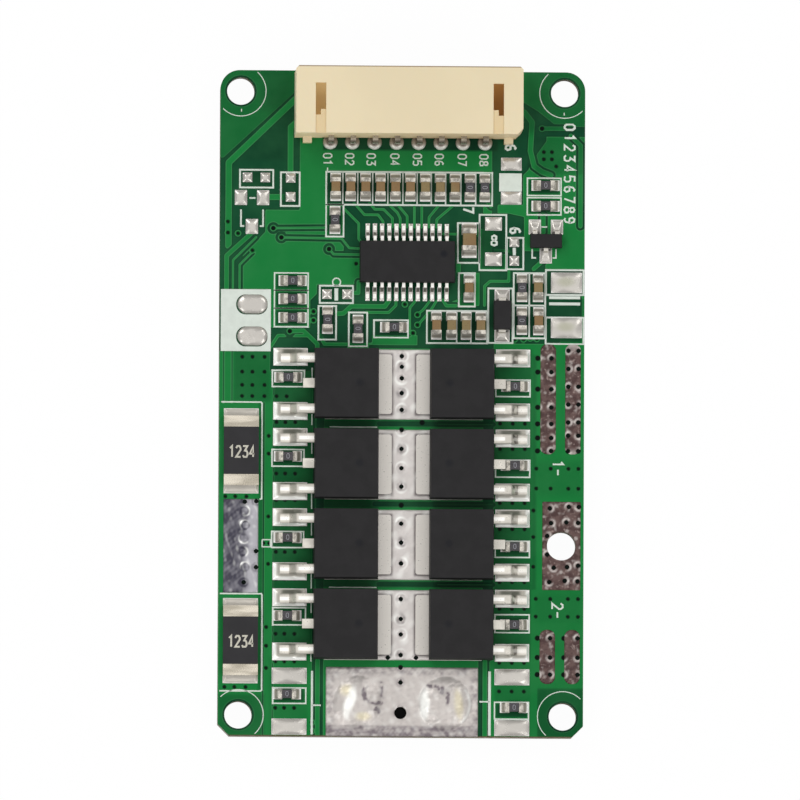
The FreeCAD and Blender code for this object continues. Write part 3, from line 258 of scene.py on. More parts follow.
def ribbon(path, width, base, height, closed=False):
    """Low printed line: a trapezoid carried along a path in the plane. At each corner the
    profile is turned to the mean direction and widened by one over the cosine of half
    the turn, so that the line keeps its width."""
    path = np.asarray(path, float)
    ahead = np.roll(path, -1, 0) - path
    behind = path - np.roll(path, 1, 0)
    if not closed:
        ahead[-1], behind[0] = behind[-1], ahead[0]
    ahead /= np.linalg.norm(ahead, axis=1)[:, None]
    behind /= np.linalg.norm(behind, axis=1)[:, None]
    mean = ahead + behind
    mean /= np.linalg.norm(mean, axis=1)[:, None]
    side = np.stack([-mean[:, 1], mean[:, 0]], -1)
    side /= np.maximum((mean * ahead).sum(1), 0.4)[:, None]
    shoulder = min(height, width / 4)
    stations = []
    for offset, level in ((width / 2, base), (width / 2 - shoulder, base + height),
                          (shoulder - width / 2, base + height), (-width / 2, base)):
        flat = path + side * offset
        stations.append(np.column_stack([flat, np.full(len(path), level)]))
    points = np.stack(stations, 1)
    count = len(path)
    index = np.arange(count * 4).reshape(count, 4)
    following = np.roll(index, -1, 0)
    if not closed:
        index, following = index[:-1], following[:-1]
    quads = [np.stack([index[:, k], following[:, k], following[:, (k + 1) % 4],
                       index[:, (k + 1) % 4]], -1) for k in range(4)]
    if not closed:
        last = 4 * (count - 1)
        quads.append(np.array([[0, 1, 2, 3], [last + 3, last + 2, last + 1, last]]))
    return points.reshape(-1, 3), [np.concatenate(quads)[:, ::-1]]


# Signed distances in the plane, positive inside


class Shape:
    """A distance field in the plane with the box that its inside lies in."""

    def __init__(self, box, field):
        self.box, self.field = box, field

    def __call__(self, x, y):
        return self.field(x, y)


def box_shape(x0, x1, y0, y1, round_r=0.0):
    """Rectangle with round corners."""
    def field(x, y):
        dx = np.abs(x - (x0 + x1) / 2) - (x1 - x0) / 2 + round_r
        dy = np.abs(y - (y0 + y1) / 2) - (y1 - y0) / 2 + round_r
        outside = np.hypot(np.maximum(dx, 0), np.maximum(dy, 0))
        return round_r - outside - np.minimum(np.maximum(dx, dy), 0)
    return Shape((x0, x1, y0, y1), field)


def disc_shape(cx, cy, radius):
    """Disc."""
    return Shape((cx - radius, cx + radius, cy - radius, cy + radius),
                 lambda x, y: radius - np.hypot(x - cx, y - cy))


def bounds_of(points, margin=0.0):
    """Box round some points."""
    points = np.asarray(points, float)
    low, high = points.min(0) - margin, points.max(0) + margin
    return low[0], high[0], low[1], high[1]


def off_run(x, y, start, end):
    """Distance to a straight run."""
    (ax, ay), (bx, by) = start, end
    ux, uy = bx - ax, by - ay
    share = ((x - ax) * ux + (y - ay) * uy) / max(ux * ux + uy * uy, 1e-9)
    share = np.clip(share, 0, 1)
    return np.hypot(x - ax - share * ux, y - ay - share * uy)


def line_shape(path, width):
    """Round-ended line of some width along straight runs."""
    def field(x, y):
        return width / 2 - np.min([off_run(x, y, *run) for run in zip(path, path[1:])], 0)
    return Shape(bounds_of(path, width / 2), field)


def polygon_shape(corners):
    """Distance to the nearest edge of a polygon, with its sign from crossing counts."""
    corners = np.asarray(corners, float)
    runs = list(zip(corners, np.roll(corners, -1, 0)))

    def field(x, y):
        best = np.min([off_run(x, y, *run) for run in runs], 0)
        inside = np.zeros(np.shape(x), bool)
        for (ax, ay), (bx, by) in runs:
            crosses = (ay > y) != (by > y)
            slope = np.where(crosses, (y - ay) / np.where(by == ay, 1, by - ay), 0)
            inside ^= crosses & (x < ax + slope * (bx - ax))
        return np.where(inside, best, -best)
    return Shape(bounds_of(corners), field)


def hollowed(shape, holes):
    """Field of a shape with other shapes cut out of it."""
    def field(x, y):
        inside = shape(x, y)
        for hole in holes:
            inside = np.minimum(inside, -hole(x, y))
        return inside
    return field


def board_outline(x, y):
    """Distance to the board's edge: round corners at the header, bevelled ones beyond."""
    edges = (-HALF_WIDTH, HALF_WIDTH, -HALF_LENGTH, HALF_LENGTH)
    bevel = (HALF_WIDTH + HALF_LENGTH - CORNER_BEVEL - np.abs(x) - np.abs(y)) / math.sqrt(2)
    return np.where(y > 0, box_shape(*edges, CORNER_R)(x, y),
                    np.minimum(box_shape(*edges)(x, y), bevel))


BOARD_FIELD = hollowed(board_outline, [
    *[disc_shape(*screw, SCREW_DIMS["hole_r_mm"]) for screw in SCREWS],
    disc_shape(*MINUS_HOLE), disc_shape(*WIRE_HOLE, WIRE_HOLE_R)])


def split_quads(quads, kept):
    """Two triangles for each quad whose corners are all kept, and one where three are."""
    good = kept[quads]
    whole = quads[good.all(1)]
    triangles = [whole[:, [0, 1, 2]], whole[:, [0, 2, 3]]]
    for missing in range(4):
        lone = quads[(good.sum(1) == 3) & ~good[:, missing]]
        triangles.append(lone[:, [k for k in range(4) if k != missing]])
    return np.concatenate(triangles)


def snapped(x, y, inside, step):
    """Grid points within 0.7 of a step of a field's rim are moved onto it along the
    field's slope, so that the rim is smooth. Gives the places, which points lie near the
    rim and which are kept."""
    field = inside(x, y)
    small = step * 0.05
    slope_x = (inside(x + small, y) - inside(x - small, y)) / (2 * small)
    slope_y = (inside(x, y + small) - inside(x, y - small)) / (2 * small)
    steep = np.maximum(slope_x ** 2 + slope_y ** 2, 0.25)
    near = np.abs(field) < 0.7 * step
    x = np.where(near, x - field * slope_x / steep, x)
    y = np.where(near, y - field * slope_y / steep, y)
    return x, y, near, near | (field > 0)


def kept_triangles(kept):
    """The kept points that triangles of a grid use, and those triangles."""
    used, triangles = np.unique(split_quads(grid_faces(*kept.shape), kept.ravel()),
                                return_inverse=True)
    return used, triangles.reshape(-1, 3)


def snapped_region(window, step, inside):
    """Triangles over the part of a window where a distance field is positive, and the
    places of their points."""
    x0, x1, y0, y1 = window
    columns = max(int(round((x1 - x0) / step)), 2) + 1
    rows = max(int(round((y1 - y0) / step)), 2) + 1
    x, y = np.meshgrid(np.linspace(x0, x1, columns), np.linspace(y0, y1, rows), indexing="ij")
    x, y, _, kept = snapped(x, y, inside, step)
    used, triangles = kept_triangles(kept)
    return x.ravel()[used], y.ravel()[used], triangles


def rim_edges(triangles):
    """Directed edges that only one triangle uses."""
    edges = np.concatenate([triangles[:, [0, 1]], triangles[:, [1, 2]], triangles[:, [2, 0]]])
    order = np.sort(edges, 1)
    _, first, counts = np.unique(order, axis=0, return_index=True, return_counts=True)
    return edges[first[counts == 1]]


def plate(window, step, inside, height, floor):
    """Plate over a region: its top is a height field, its walls drop from the rim to
    the floor, and its underside is the same region pressed flat."""
    x, y, triangles = snapped_region(window, step, inside)
    top = np.column_stack([x, y, height(x, y)])
    bottom = np.column_stack([x, y, np.full(len(x), floor)])
    count = len(x)
    edges = rim_edges(triangles)
    wall = np.stack([edges[:, 0], edges[:, 0] + count, edges[:, 1] + count, edges[:, 1]], -1)
    return np.concatenate([top, bottom]), [triangles, wall, triangles[:, ::-1] + count]


# Materials


def feed(tree, socket, value):
    """Link an output to an input, or set the input to a plain value."""
    if isinstance(value, bpy.types.NodeSocket):
        tree.links.new(value, socket)
    elif socket.type == "RGBA":
        socket.default_value = (*value[:3], 1.0)
    else:
        socket.default_value = value


def feed_all(tree, node, values):
    """Feed several inputs, by name or number."""
    for label, value in values.items():
        feed(tree, node.inputs[label], value)


def add_node(tree, kind, inputs=None, **settings):
    """New node. A setting that names an input feeds it; inputs go by name or number."""
    node = tree.nodes.new(kind)
    for key, value in settings.items():
        if key in node.inputs:
            feed(tree, node.inputs[key], value)
        else:
            setattr(node, key, value)
    feed_all(tree, node, inputs or {})
    return node


def new_material(name):
    """Empty finish: its material, tree and shader."""
    material = bpy.data.materials.new(name)
    material.use_nodes = True
    tree = material.node_tree
    tree.nodes.clear()
    shader = tree.nodes.new("ShaderNodeBsdfPrincipled")
    add_node(tree, "ShaderNodeOutputMaterial", Surface=shader.outputs["BSDF"])
    return material, tree, shader


def opened(material):
    """A finish's tree, its shader and what feeds its colour."""
    tree = material.node_tree
    shader = tree.nodes["Principled BSDF"]
    return tree, shader, shader.inputs["Base Color"].links[0].from_socket


def maths(tree, operation, *values):
    """One sum on node outputs or plain numbers, and its result."""
    return add_node(tree, "ShaderNodeMath", dict(enumerate(values)),
                    operation=operation).outputs[0]


def product(tree, first, *others):
    """Product of masks and plain numbers."""
    for value in others:
        first = maths(tree, "MULTIPLY", first, value)
    return first


def flipped(tree, value):
    return maths(tree, "SUBTRACT", 1.0, value)


def mix_colour(tree, share, first, second):
    """Blend of two colours; each input is a socket or a plain value."""
    return add_node(tree, "ShaderNodeMix", {0: share, 6: first, 7: second},
                    data_type="RGBA").outputs[2]


def layered(tree, base, *layers):
    """Colour with others laid over it, each by its share."""
    for share, colour in layers:
        base = mix_colour(tree, share, base, colour)
    return base


def dimmed(colour, share):
    """Darker colour of the same hue."""
    return tuple(level * share for level in colour[:3])


def step_mask(tree, value, low, high):
    """Mask that rises from 0 to 1 between two values."""
    return add_node(tree, "ShaderNodeMapRange", {"From Min": low, "From Max": high}, Value=value,
                    interpolation_type="SMOOTHSTEP").outputs["Result"]


def zone(tree, value, begin, full, hold=None, end=None):
    """Mask that rises between two places, in millimetres, and falls between the next two
    if there are any."""
    mask = step_mask(tree, value, begin * MM, full * MM)
    if hold is None:
        return mask
    return product(tree, mask, step_mask(tree, value, end * MM, hold * MM))


def object_point(tree):
    return tree.nodes.new("ShaderNodeTexCoord").outputs["Object"]


def parts_of(tree, vector):
    """X, Y and Z of a vector output."""
    return add_node(tree, "ShaderNodeSeparateXYZ", Vector=vector).outputs


def normal_parts(tree):
    return parts_of(tree, tree.nodes.new("ShaderNodeNewGeometry").outputs["Normal"])


def point_field(tree, label):
    """Field that the mesh carries at its points."""
    return add_node(tree, "ShaderNodeAttribute", attribute_name=label).outputs["Fac"]


def noise(tree, point, scale, detail, **settings):
    """Noise mask over a place."""
    return add_node(tree, "ShaderNodeTexNoise", Vector=point, Scale=scale, Detail=detail,
                    **settings).outputs["Fac"]


def streaks(tree, scale):
    """Noise that is drawn out along the axes of small scale."""
    stretch = add_node(tree, "ShaderNodeMapping", Vector=object_point(tree), Scale=scale)
    return noise(tree, stretch.outputs["Vector"], 1.0, 2.0)


SKIN_INPUTS = ("Blotch Scale", "Grain Scale", "Grain Share", "Bump", "Depth")


def skin_group():
    """Node group: blotches and fine grain over a surface, from object coordinates.
    Puts out a mask for each and a normal that follows the two together."""
    name = "surface_grain"
    if name in bpy.data.node_groups:
        return bpy.data.node_groups[name]
    group = bpy.data.node_groups.new(name, "ShaderNodeTree")
    for label in SKIN_INPUTS:
        group.interface.new_socket(label, in_out="INPUT", socket_type="NodeSocketFloat")
    for label, kind in (("Blotch", "NodeSocketFloat"), ("Grain", "NodeSocketFloat"),
                        ("Normal", "NodeSocketVector")):
        group.interface.new_socket(label, in_out="OUTPUT", socket_type=kind)
    given = group.nodes.new("NodeGroupInput").outputs
    point = object_point(group)
    blotch, grain = [noise(group, point, given[label], 3.0, Roughness=0.55)
                     for label in SKIN_INPUTS[:2]]
    both = add_node(group, "ShaderNodeMix", {0: given["Grain Share"], 2: blotch, 3: grain})
    bump = add_node(group, "ShaderNodeBump", Height=both.outputs[0], Strength=given["Bump"],
                    Distance=given["Depth"])
    add_node(group, "NodeGroupOutput", Blotch=blotch, Grain=grain,
             Normal=bump.outputs["Normal"])
    return group


def use_skin(tree, shader, *values):
    """Place the grain group with its five values, feed its normal to the shader and give
    back its outputs."""
    skin = add_node(tree, "ShaderNodeGroup", dict(zip(SKIN_INPUTS, values)),
                    node_tree=skin_group()).outputs
    feed(tree, shader.inputs["Normal"], skin["Normal"])
    return skin


def grained(name, colour, dark=0.85, rough=(0.35, 0.55), metallic=0.0, blotch=500.0,
            grain=6000.0, share=0.3, bump=0.25, depth=0.00002, sheen=0.15):
    """Finish with blotchy colour, uneven gloss and a fine grain."""
    material, tree, shader = new_material(name)
    skin = use_skin(tree, shader, blotch, grain, share, bump, depth)
    mask = step_mask(tree, skin["Blotch"], 0.35, 0.65)
    gloss = add_node(tree, "ShaderNodeMapRange", {
        "From Min": 0.3, "From Max": 0.7, "To Min": rough[0], "To Max": rough[1]},
        Value=skin["Grain"])
    feed_all(tree, shader, {
        "Base Color": mix_colour(tree, mask, dimmed(colour, dark), colour),
        "Roughness": gloss.outputs["Result"], "Metallic": metallic,
        "Specular IOR Level": sheen})
    return material


BOARD_GRAIN = (260.0, 3000.0, 0.25, 0.12, 0.00002)
# Brown strip of bare laminate along the far edge, in millimetres from it.
FAR_RIM = (0.11, 0.05)


def mask_material(colours):
    """Solder mask over the copper pattern: the copper field picks the green, its
    shoulder is paler as a painted highlight, drilled or tented spots are near-black as
    painted shade of the holes, the shade field lays painted shade and darker tone, and
    the far rim is brown."""
    material, tree, shader = new_material("solder_mask")
    skin = use_skin(tree, shader, *BOARD_GRAIN)
    copper, drill, shade = [point_field(tree, label) for label in ("copper", "drill", "shade")]
    over = step_mask(tree, copper, -0.03, 0.03)
    beside = product(tree, step_mask(tree, copper, -0.14, -0.02), flipped(tree, over))
    # Painted highlight along the copper's shoulder.
    shoulder = product(tree, over, step_mask(tree, copper, 0.09, 0.03), 0.45)
    cloud = product(tree, step_mask(tree, skin["Blotch"], 0.3, 0.75), 0.12)
    far_rim = zone(tree, parts_of(tree, object_point(tree))["Y"],
                   *[width - HALF_LENGTH for width in FAR_RIM])
    base = layered(
        tree, colours.mask_bare, (over, colours.mask_copper),
        (beside, dimmed(colours.mask_bare, 0.62)), (shoulder, colours.mask_highlight_and_cloud),
        # The shade field lays painted shade between and beside parts, and darker tone.
        (shade, dimmed(colours.mask_bare, 0.6)), (cloud, colours.mask_highlight_and_cloud),
        # Painted shade: near-black over drilled and plugged spots, for the dark depth of the
        # holes.
        (far_rim, tint(88, 76, 56)), (step_mask(tree, drill, -0.04, 0.05), tint(4, 14, 10)))
    feed_all(tree, shader, {"Base Color": base, "Specular IOR Level": 0.06, "Roughness": 0.38})
    return material


def laminate_material(colours):
    """Bare board: green mask on both faces, darker resin with pale fibre on the edges."""
    material, tree, shader = new_material("laminate")
    skin = use_skin(tree, shader, *BOARD_GRAIN)
    flat = step_mask(tree, maths(tree, "ABSOLUTE", normal_parts(tree)["Z"]), 0.4, 0.6)
    strand = step_mask(tree, streaks(tree, (300.0, 300.0, 5000.0)), 0.45, 0.65)
    edge = mix_colour(tree, strand, tint(84, 70, 40), tint(122, 108, 66))
    cloud = step_mask(tree, skin["Blotch"], 0.3, 0.7)
    face = mix_colour(tree, cloud, colours.mask_bare, tint(22, 98, 52))
    feed_all(tree, shader, {"Base Color": mix_colour(tree, flat, edge, face), "Roughness": 0.42})
    return material


# Painted glow: emission that stands in for light coming through the header's thin walls into its
# hollow and onto its rear wall.
WINDOW_GLOW = 0.16
REAR_GLOW = 0.2


def header_material(colours):
    """Cream nylon: faint flow clouds, fine moulded grain and a soft sheen. The hollow and
    the rear wall carry a painted glow, and the hollow a warm painted shade that darkens to
    the right; the windows' steps carry a tan painted shade, and the top's far edge a line
    of painted shade."""
    material = grained("header_plastic", colours.header, dark=0.955, rough=(0.42, 0.58),
                       blotch=90.0, grain=9000.0, share=0.5, bump=0.12)
    tree, shader, cream = opened(material)
    (left, near, foot), (right, far, top) = corners_mm("connector_housing")
    point, facing = parts_of(tree, object_point(tree)), normal_parts(tree)
    hollow = product(tree, *[zone(tree, point[axis], begin, full) for axis, begin, full in (
        ("Z", top - 0.45, top - 0.7), ("Z", foot + 0.45, foot + 0.7),
        ("Y", near + 1.0, near + 1.3), ("X", left + 0.5, left + 0.7),
        ("X", right - 0.5, right - 0.7))])
    # Painted light and shade in the hollow: warm, lighter at the left and darker to the right.
    warm = mix_colour(tree, zone(tree, point["X"], -2, 4), tint(214, 186, 132),
                      tint(174, 126, 68))
    # Painted shade: tan on the upward faces of the steps just below the top.
    groove_shade = product(tree, zone(tree, point["Z"], top - 0.3, top - 0.2, top - 0.08, top - 0.04),
                     step_mask(tree, facing["Z"], 0.5, 0.8))
    # Painted shade: a dark line along the top's far edge.
    line = zone(tree, point["Y"], far - 0.12, far - 0.06)
    # Painted glow on the rear wall, the faces that look towards -Y.
    rear = product(tree, step_mask(tree, facing["Y"], -0.5, -0.8), REAR_GLOW)
    feed_all(tree, shader, {
        "Base Color": layered(tree, cream, (hollow, warm), (groove_shade, tint(220, 198, 156)),
                              (line, tint(150, 130, 104))),
        "Emission Color": warm,
        "Emission Strength": maths(tree, "MAXIMUM", product(tree, hollow, WINDOW_GLOW), rear),
        "Subsurface Weight": 0.12, "Subsurface Radius": (0.0008, 0.0005, 0.0003)})
    return material


def ceramic_material():
    """Fired capacitor ceramic, tan to orange from one chip to the next."""
    material, tree, shader = new_material("capacitor_ceramic")
    skin = use_skin(tree, shader, 900.0, 9000.0, 0.5, 0.3, 0.00001)
    warm = step_mask(tree, noise(tree, object_point(tree), 330.0, 0.0), 0.38, 0.62)
    speck = step_mask(tree, skin["Grain"], 0.55, 0.75)
    colour = layered(tree, tint(131, 114, 78), (warm, tint(130, 104, 70)),
                     (speck, tint(108, 84, 56)))
    feed_all(tree, shader, {"Base Color": colour, "Specular IOR Level": 0.2, "Roughness": 0.45})
    return material


def stain(material, label, colour):
    """Blend a colour over a finish where a point field of the mesh is high."""
    tree, shader, under = opened(material)
    feed(tree, shader.inputs["Base Color"],
         mix_colour(tree, point_field(tree, label), under, colour))
    return material


def flux_material():
    """Tinned copper under dried brown flux, with pale specks where metal shows; where the tinned
    point field is high, pale tin and painted highlights round the holes are laid over it.
    """
    material, tree, shader = new_material("flux_strip")
    skin = use_skin(tree, shader, 1300.0, 2400.0, 0.5, 0.6, 0.00003)
    colour = layered(tree, tint(70, 48, 46),
                     (step_mask(tree, skin["Blotch"], 0.4, 0.62), tint(96, 74, 70)),
                     (step_mask(tree, skin["Grain"], 0.55, 0.72), tint(140, 122, 116)))
    feed_all(tree, shader, {"Base Color": colour, "Specular IOR Level": 0.25, "Roughness": 0.42})
    return stain(material, "tinned", tint(222, 214, 208))


# Colour of the painted highlights on the plated leads and legs.
METAL_HIGHLIGHT = tint(255, 253, 247)
# Bands on the control chip's leads: begin and end in millimetres from the body, share and
# colour, for painted shade on the bend and painted highlights on the root and the foot.
LEAD_LIGHT_BANDS = ((0.45, 0.78, 0.85, tint(92, 88, 80)), (0.04, 0.4, 0.8, METAL_HIGHLIGHT),
              (1.0, 1.42, 0.8, METAL_HIGHLIGHT))


def tab_and_leg_tin(colour):
    """Plated lead frames. The wide tabs are a darker grey near the board's middle. The
    power transistors' legs carry a painted highlight along their middle line and painted
    shade towards their sides, and are blotched at the right-hand feet. The control chip's
    leads have bands of painted shade and highlight."""
    material = grained("lead_tin", colour, dark=0.78, rough=(0.26, 0.42), metallic=0.6,
                       blotch=900.0, bump=0.06)
    tree, shader, plated = opened(material)
    place = object_point(tree)
    point = parts_of(tree, place)
    across, along = point["X"], point["Y"]
    away = maths(tree, "ABSOLUTE", across)
    blotch = product(tree, zone(tree, across, 9.85, 10.1, 10.2, 10.8),
                     step_mask(tree, noise(tree, place, 1500.0, 1.0), 0.4, 0.6))
    pitch = (ROWS[0] - ROWS[1]) * MM
    off = maths(tree, "ABSOLUTE", maths(
        tree, "WRAP", maths(tree, "SUBTRACT", along, ROWS[0] * MM), pitch / 2, -pitch / 2))
    side = maths(tree, "ABSOLUTE", maths(tree, "SUBTRACT", off, LEG_LANE * MM))
    legs = product(tree, zone(tree, away, 7.4, 7.6), zone(tree, along, 5.5, 5.3),
                   zone(tree, off, 1.2, 1.4))
    # Painted shade towards each leg's sides.
    dim = product(tree, zone(tree, side, 0.24, 0.44), legs, 0.6)
    # Painted highlight along each leg's middle line.
    bright = product(tree, zone(tree, side, 0.22, 0.1), legs,
                     flipped(tree, zone(tree, away, 9.2, 9.4, 10.0, 10.2)),
                     flipped(tree, product(tree, zone(tree, across, 9.9, 10.1), 0.55)))
    low, high = corners_mm("controller_body")
    outward = maths(tree, "SUBTRACT", maths(tree, "ABSOLUTE", maths(
        tree, "SUBTRACT", along, (low[1] + high[1]) / 2 * MM)), (high[1] - low[1]) / 2 * MM)
    chip = product(tree, zone(tree, along, 5.5, 5.7), zone(tree, across, 5.0, 4.9))
    bands = [(product(tree, zone(tree, outward, begin - 0.05, begin + 0.05, end - 0.05,
                                 end + 0.05), share, chip), shine)
             for begin, end, share, shine in LEAD_LIGHT_BANDS]
    feed(tree, shader.inputs["Base Color"], layered(
        tree, plated, (zone(tree, away, 3.6, 3.4), tint(204, 199, 192)),
        (blotch, tint(104, 100, 94)), (dim, tint(126, 122, 112)), *bands,
        (bright, METAL_HIGHLIGHT)))
    return material


def chip_tin_material():
    """Tinned ends: strongly blotched on the small chips, smooth cream on the two
    current-sense resistors by the left edge."""
    material = grained("chip_tin", tint(214, 208, 196), dark=0.36, rough=(0.22, 0.36),
                       metallic=0.6, blotch=1900.0, bump=0.3, depth=0.00003)
    tree, shader, blotched = opened(material)
    wide = zone(tree, parts_of(tree, object_point(tree))["X"], -12.0, -12.4)
    streak = step_mask(tree, streaks(tree, (300.0, 1500.0, 300.0)), 0.35, 0.65)
    cream = mix_colour(tree, streak, tint(176, 168, 152), tint(222, 213, 196))
    feed(tree, shader.inputs["Base Color"], mix_colour(tree, wide, blotched, cream))
    return material


def lumpy_land(name, colour, dull):
    """Thick uneven solder: point fields lay oxide together with painted shade and dark
    painted reflections, paler patches together with painted highlights, and yellowish flux.
    """
    material = grained(name, colour, dark=0.9, rough=(0.28, 0.46), metallic=0.35, blotch=800.0,
                       bump=0.4, depth=0.00003)
    # Oxide together with painted shade.
    stain(material, "dull", dull)
    stain(material, "amber", tint(228, 216, 168))
    # Paler patches together with painted highlights.
    return stain(material, "bright", tint(255, 255, 250))


JOINT = {"rough": (0.2, 0.28), "metallic": 0.6, "blotch": 700.0, "grain": 2500.0, "bump": 0.2}
MOULDING = {"dark": 0.86, "rough": (0.5, 0.68), "blotch": 700.0, "grain": 12000.0,
            "share": 0.7, "bump": 0.35}


def make_finishes(colours):
    """Every finish of the board, by the record's slot name or the piece's own."""
    finishes = {
        "board": laminate_material(colours),
        "mask": mask_material(colours),
        "header_plastic": header_material(colours),
        "pin_metal": grained("pin_metal", tint(164, 154, 138), dark=0.6, rough=(0.2, 0.34),
                             metallic=0.9, bump=0.2),
        "solder": grained("solder_joint", colours.solder, dark=0.9, **JOINT),
        "spare_solder": stain(grained("spare_solder", dimmed(colours.solder, 0.77), dark=0.92,
                                      **JOINT), "amber", tint(160, 162, 134)),
        "tinned_land": grained("tinned_land", tint(222, 218, 216), dark=0.86, rough=(0.3, 0.5),
                               metallic=0.4, blotch=900.0, bump=0.5, depth=0.00004),
        "bare_strip": flux_material(),
        "black_epoxy": grained("black_epoxy", colours.epoxy, **MOULDING),
        "mould_mark": stain(grained("mould_mark", colours.epoxy, **MOULDING), "deep",
                            tint(20, 22, 28)),
        # Black of the painted shade disc in the wire hole.
        "sealant": grained("sealant", tint(9, 8, 8), dark=0.8, rough=(0.5, 0.7), sheen=0.05),
        "lead_tin": tab_and_leg_tin(colours.tin),
        "capacitor_ceramic": ceramic_material(),
        "resistor_ceramic": grained("resistor_glaze", tint(62, 58, 62), dark=0.7,
                                    rough=(0.2, 0.4), blotch=1500.0, bump=0.2, sheen=0.5),
        "shunt_coat": grained("shunt_coat", tint(49, 48, 50), dark=0.88, rough=(0.45, 0.6),
                              blotch=600.0, grain=12000.0, share=0.6, bump=0.25),
        "chip_tin": chip_tin_material(),
        "ink": grained("print_ink", colours.print_ink, dark=0.93, rough=(0.55, 0.7),
                       blotch=1200.0, bump=0.2),
        "digit_ink": grained("digit_ink", tint(200, 196, 182), dark=0.9, rough=(0.5, 0.7)),
        "chip_ink": grained("chip_ink", tint(150, 150, 156), dark=0.9, rough=(0.5, 0.7)),
    }
    for name, colour, dull in (("drain_solder", tint(212, 206, 202), tint(128, 121, 121)),
                               ("leg_solder", tint(206, 201, 190), tint(92, 96, 84)),
                               ("sense_solder", tint(178, 176, 182), tint(68, 66, 78)),
                               ("far_solder", tint(204, 197, 192), tint(122, 113, 117)),
                               ("pin_solder", tint(186, 176, 160), tint(122, 112, 102)),
                               ("chip_solder", tint(206, 200, 190), tint(118, 112, 98))):
        finishes[name] = lumpy_land(name, colour, dull)
    return finishes


FINISHES = {}


def dress_nodes():
    """Give every node of the frame the finish of its slot."""
    slots = {part["node"]: part["material_slot"] for part in frame["record"]["subparts"]}
    for name, slot in slots.items():
        mesh = frame["nodes"][name].data
        mesh.materials.clear()
        mesh.materials.append(FINISHES[slot])


# Copper pattern under the mask


FIELD_REACH = 0.5


class Artwork:
    """Fields on a grid over the board's face: how far inside the copper a point lies, how
    far inside a drilled spot, and how much painted shade and darker tone the mask carries there."""

    def __init__(self, step):
        columns = int(round(2 * HALF_WIDTH / step)) + 1
        rows = int(round(2 * HALF_LENGTH / step)) + 1
        self.across = np.linspace(-HALF_WIDTH, HALF_WIDTH, columns)
        self.along = np.linspace(-HALF_LENGTH, HALF_LENGTH, rows)
        self.x, self.y = np.meshgrid(self.across, self.along, indexing="ij")
        self.copper = np.full(self.x.shape, -FIELD_REACH)
        self.drill = np.full(self.x.shape, -FIELD_REACH)
        self.shade = np.zeros(self.x.shape)

    def window(self, box, margin):
        """Rows and columns of the grid over a box."""
        x0, x1, y0, y1 = box
        left, right = np.searchsorted(self.across, (x0 - margin, x1 + margin))
        low, high = np.searchsorted(self.along, (y0 - margin, y1 + margin))
        return slice(left, right), slice(low, high)

    def stamp(self, grid, shape, sign=1, depth=FIELD_REACH):
        """A shape joins a grid, or is taken out of it where the sign is -1."""
        part = self.window(shape.box, 2 * FIELD_REACH)
        field = np.clip(sign * shape(self.x[part], self.y[part]), -FIELD_REACH, depth)
        grid[part] = (np.maximum if sign > 0 else np.minimum)(grid[part], field)

    def add(self, shape):
        """Copper joins the shape."""
        self.stamp(self.copper, shape)

    def cut(self, shape):
        """Copper is etched away inside the shape."""
        self.stamp(self.copper, shape, -1)

    def trace(self, path, width, gap=0.2):
        """Etch a moat along a path and lay a trace in it."""
        self.cut(line_shape(path, width + 2 * gap))
        self.add(line_shape(path, width))

    def via(self, cx, cy, radius, ring=0.0, moat=0.0, depth=FIELD_REACH):
        """Plugged or open hole, with a ring of copper and an etched moat if it has them."""
        if moat:
            self.cut(disc_shape(cx, cy, ring + moat))
        if ring:
            self.add(disc_shape(cx, cy, ring))
        self.stamp(self.drill, disc_shape(cx, cy, radius), depth=depth)

    def lighten(self, shape):
        """No darker zone inside the shape."""
        part = self.window(shape.box, 0.2)
        outside = np.clip(-shape(self.x[part], self.y[part]) / 0.1, 0, 1)
        self.shade[part] *= outside

    def darken(self, box, amount, soft):
        """Darker zone of painted shade and tone that fades out over a soft border."""
        shape = box_shape(*box)
        part = self.window(box, 4 * soft)
        share = amount * ease(shape(self.x[part], self.y[part]), -soft, soft)
        self.shade[part] = np.maximum(self.shade[part], share)


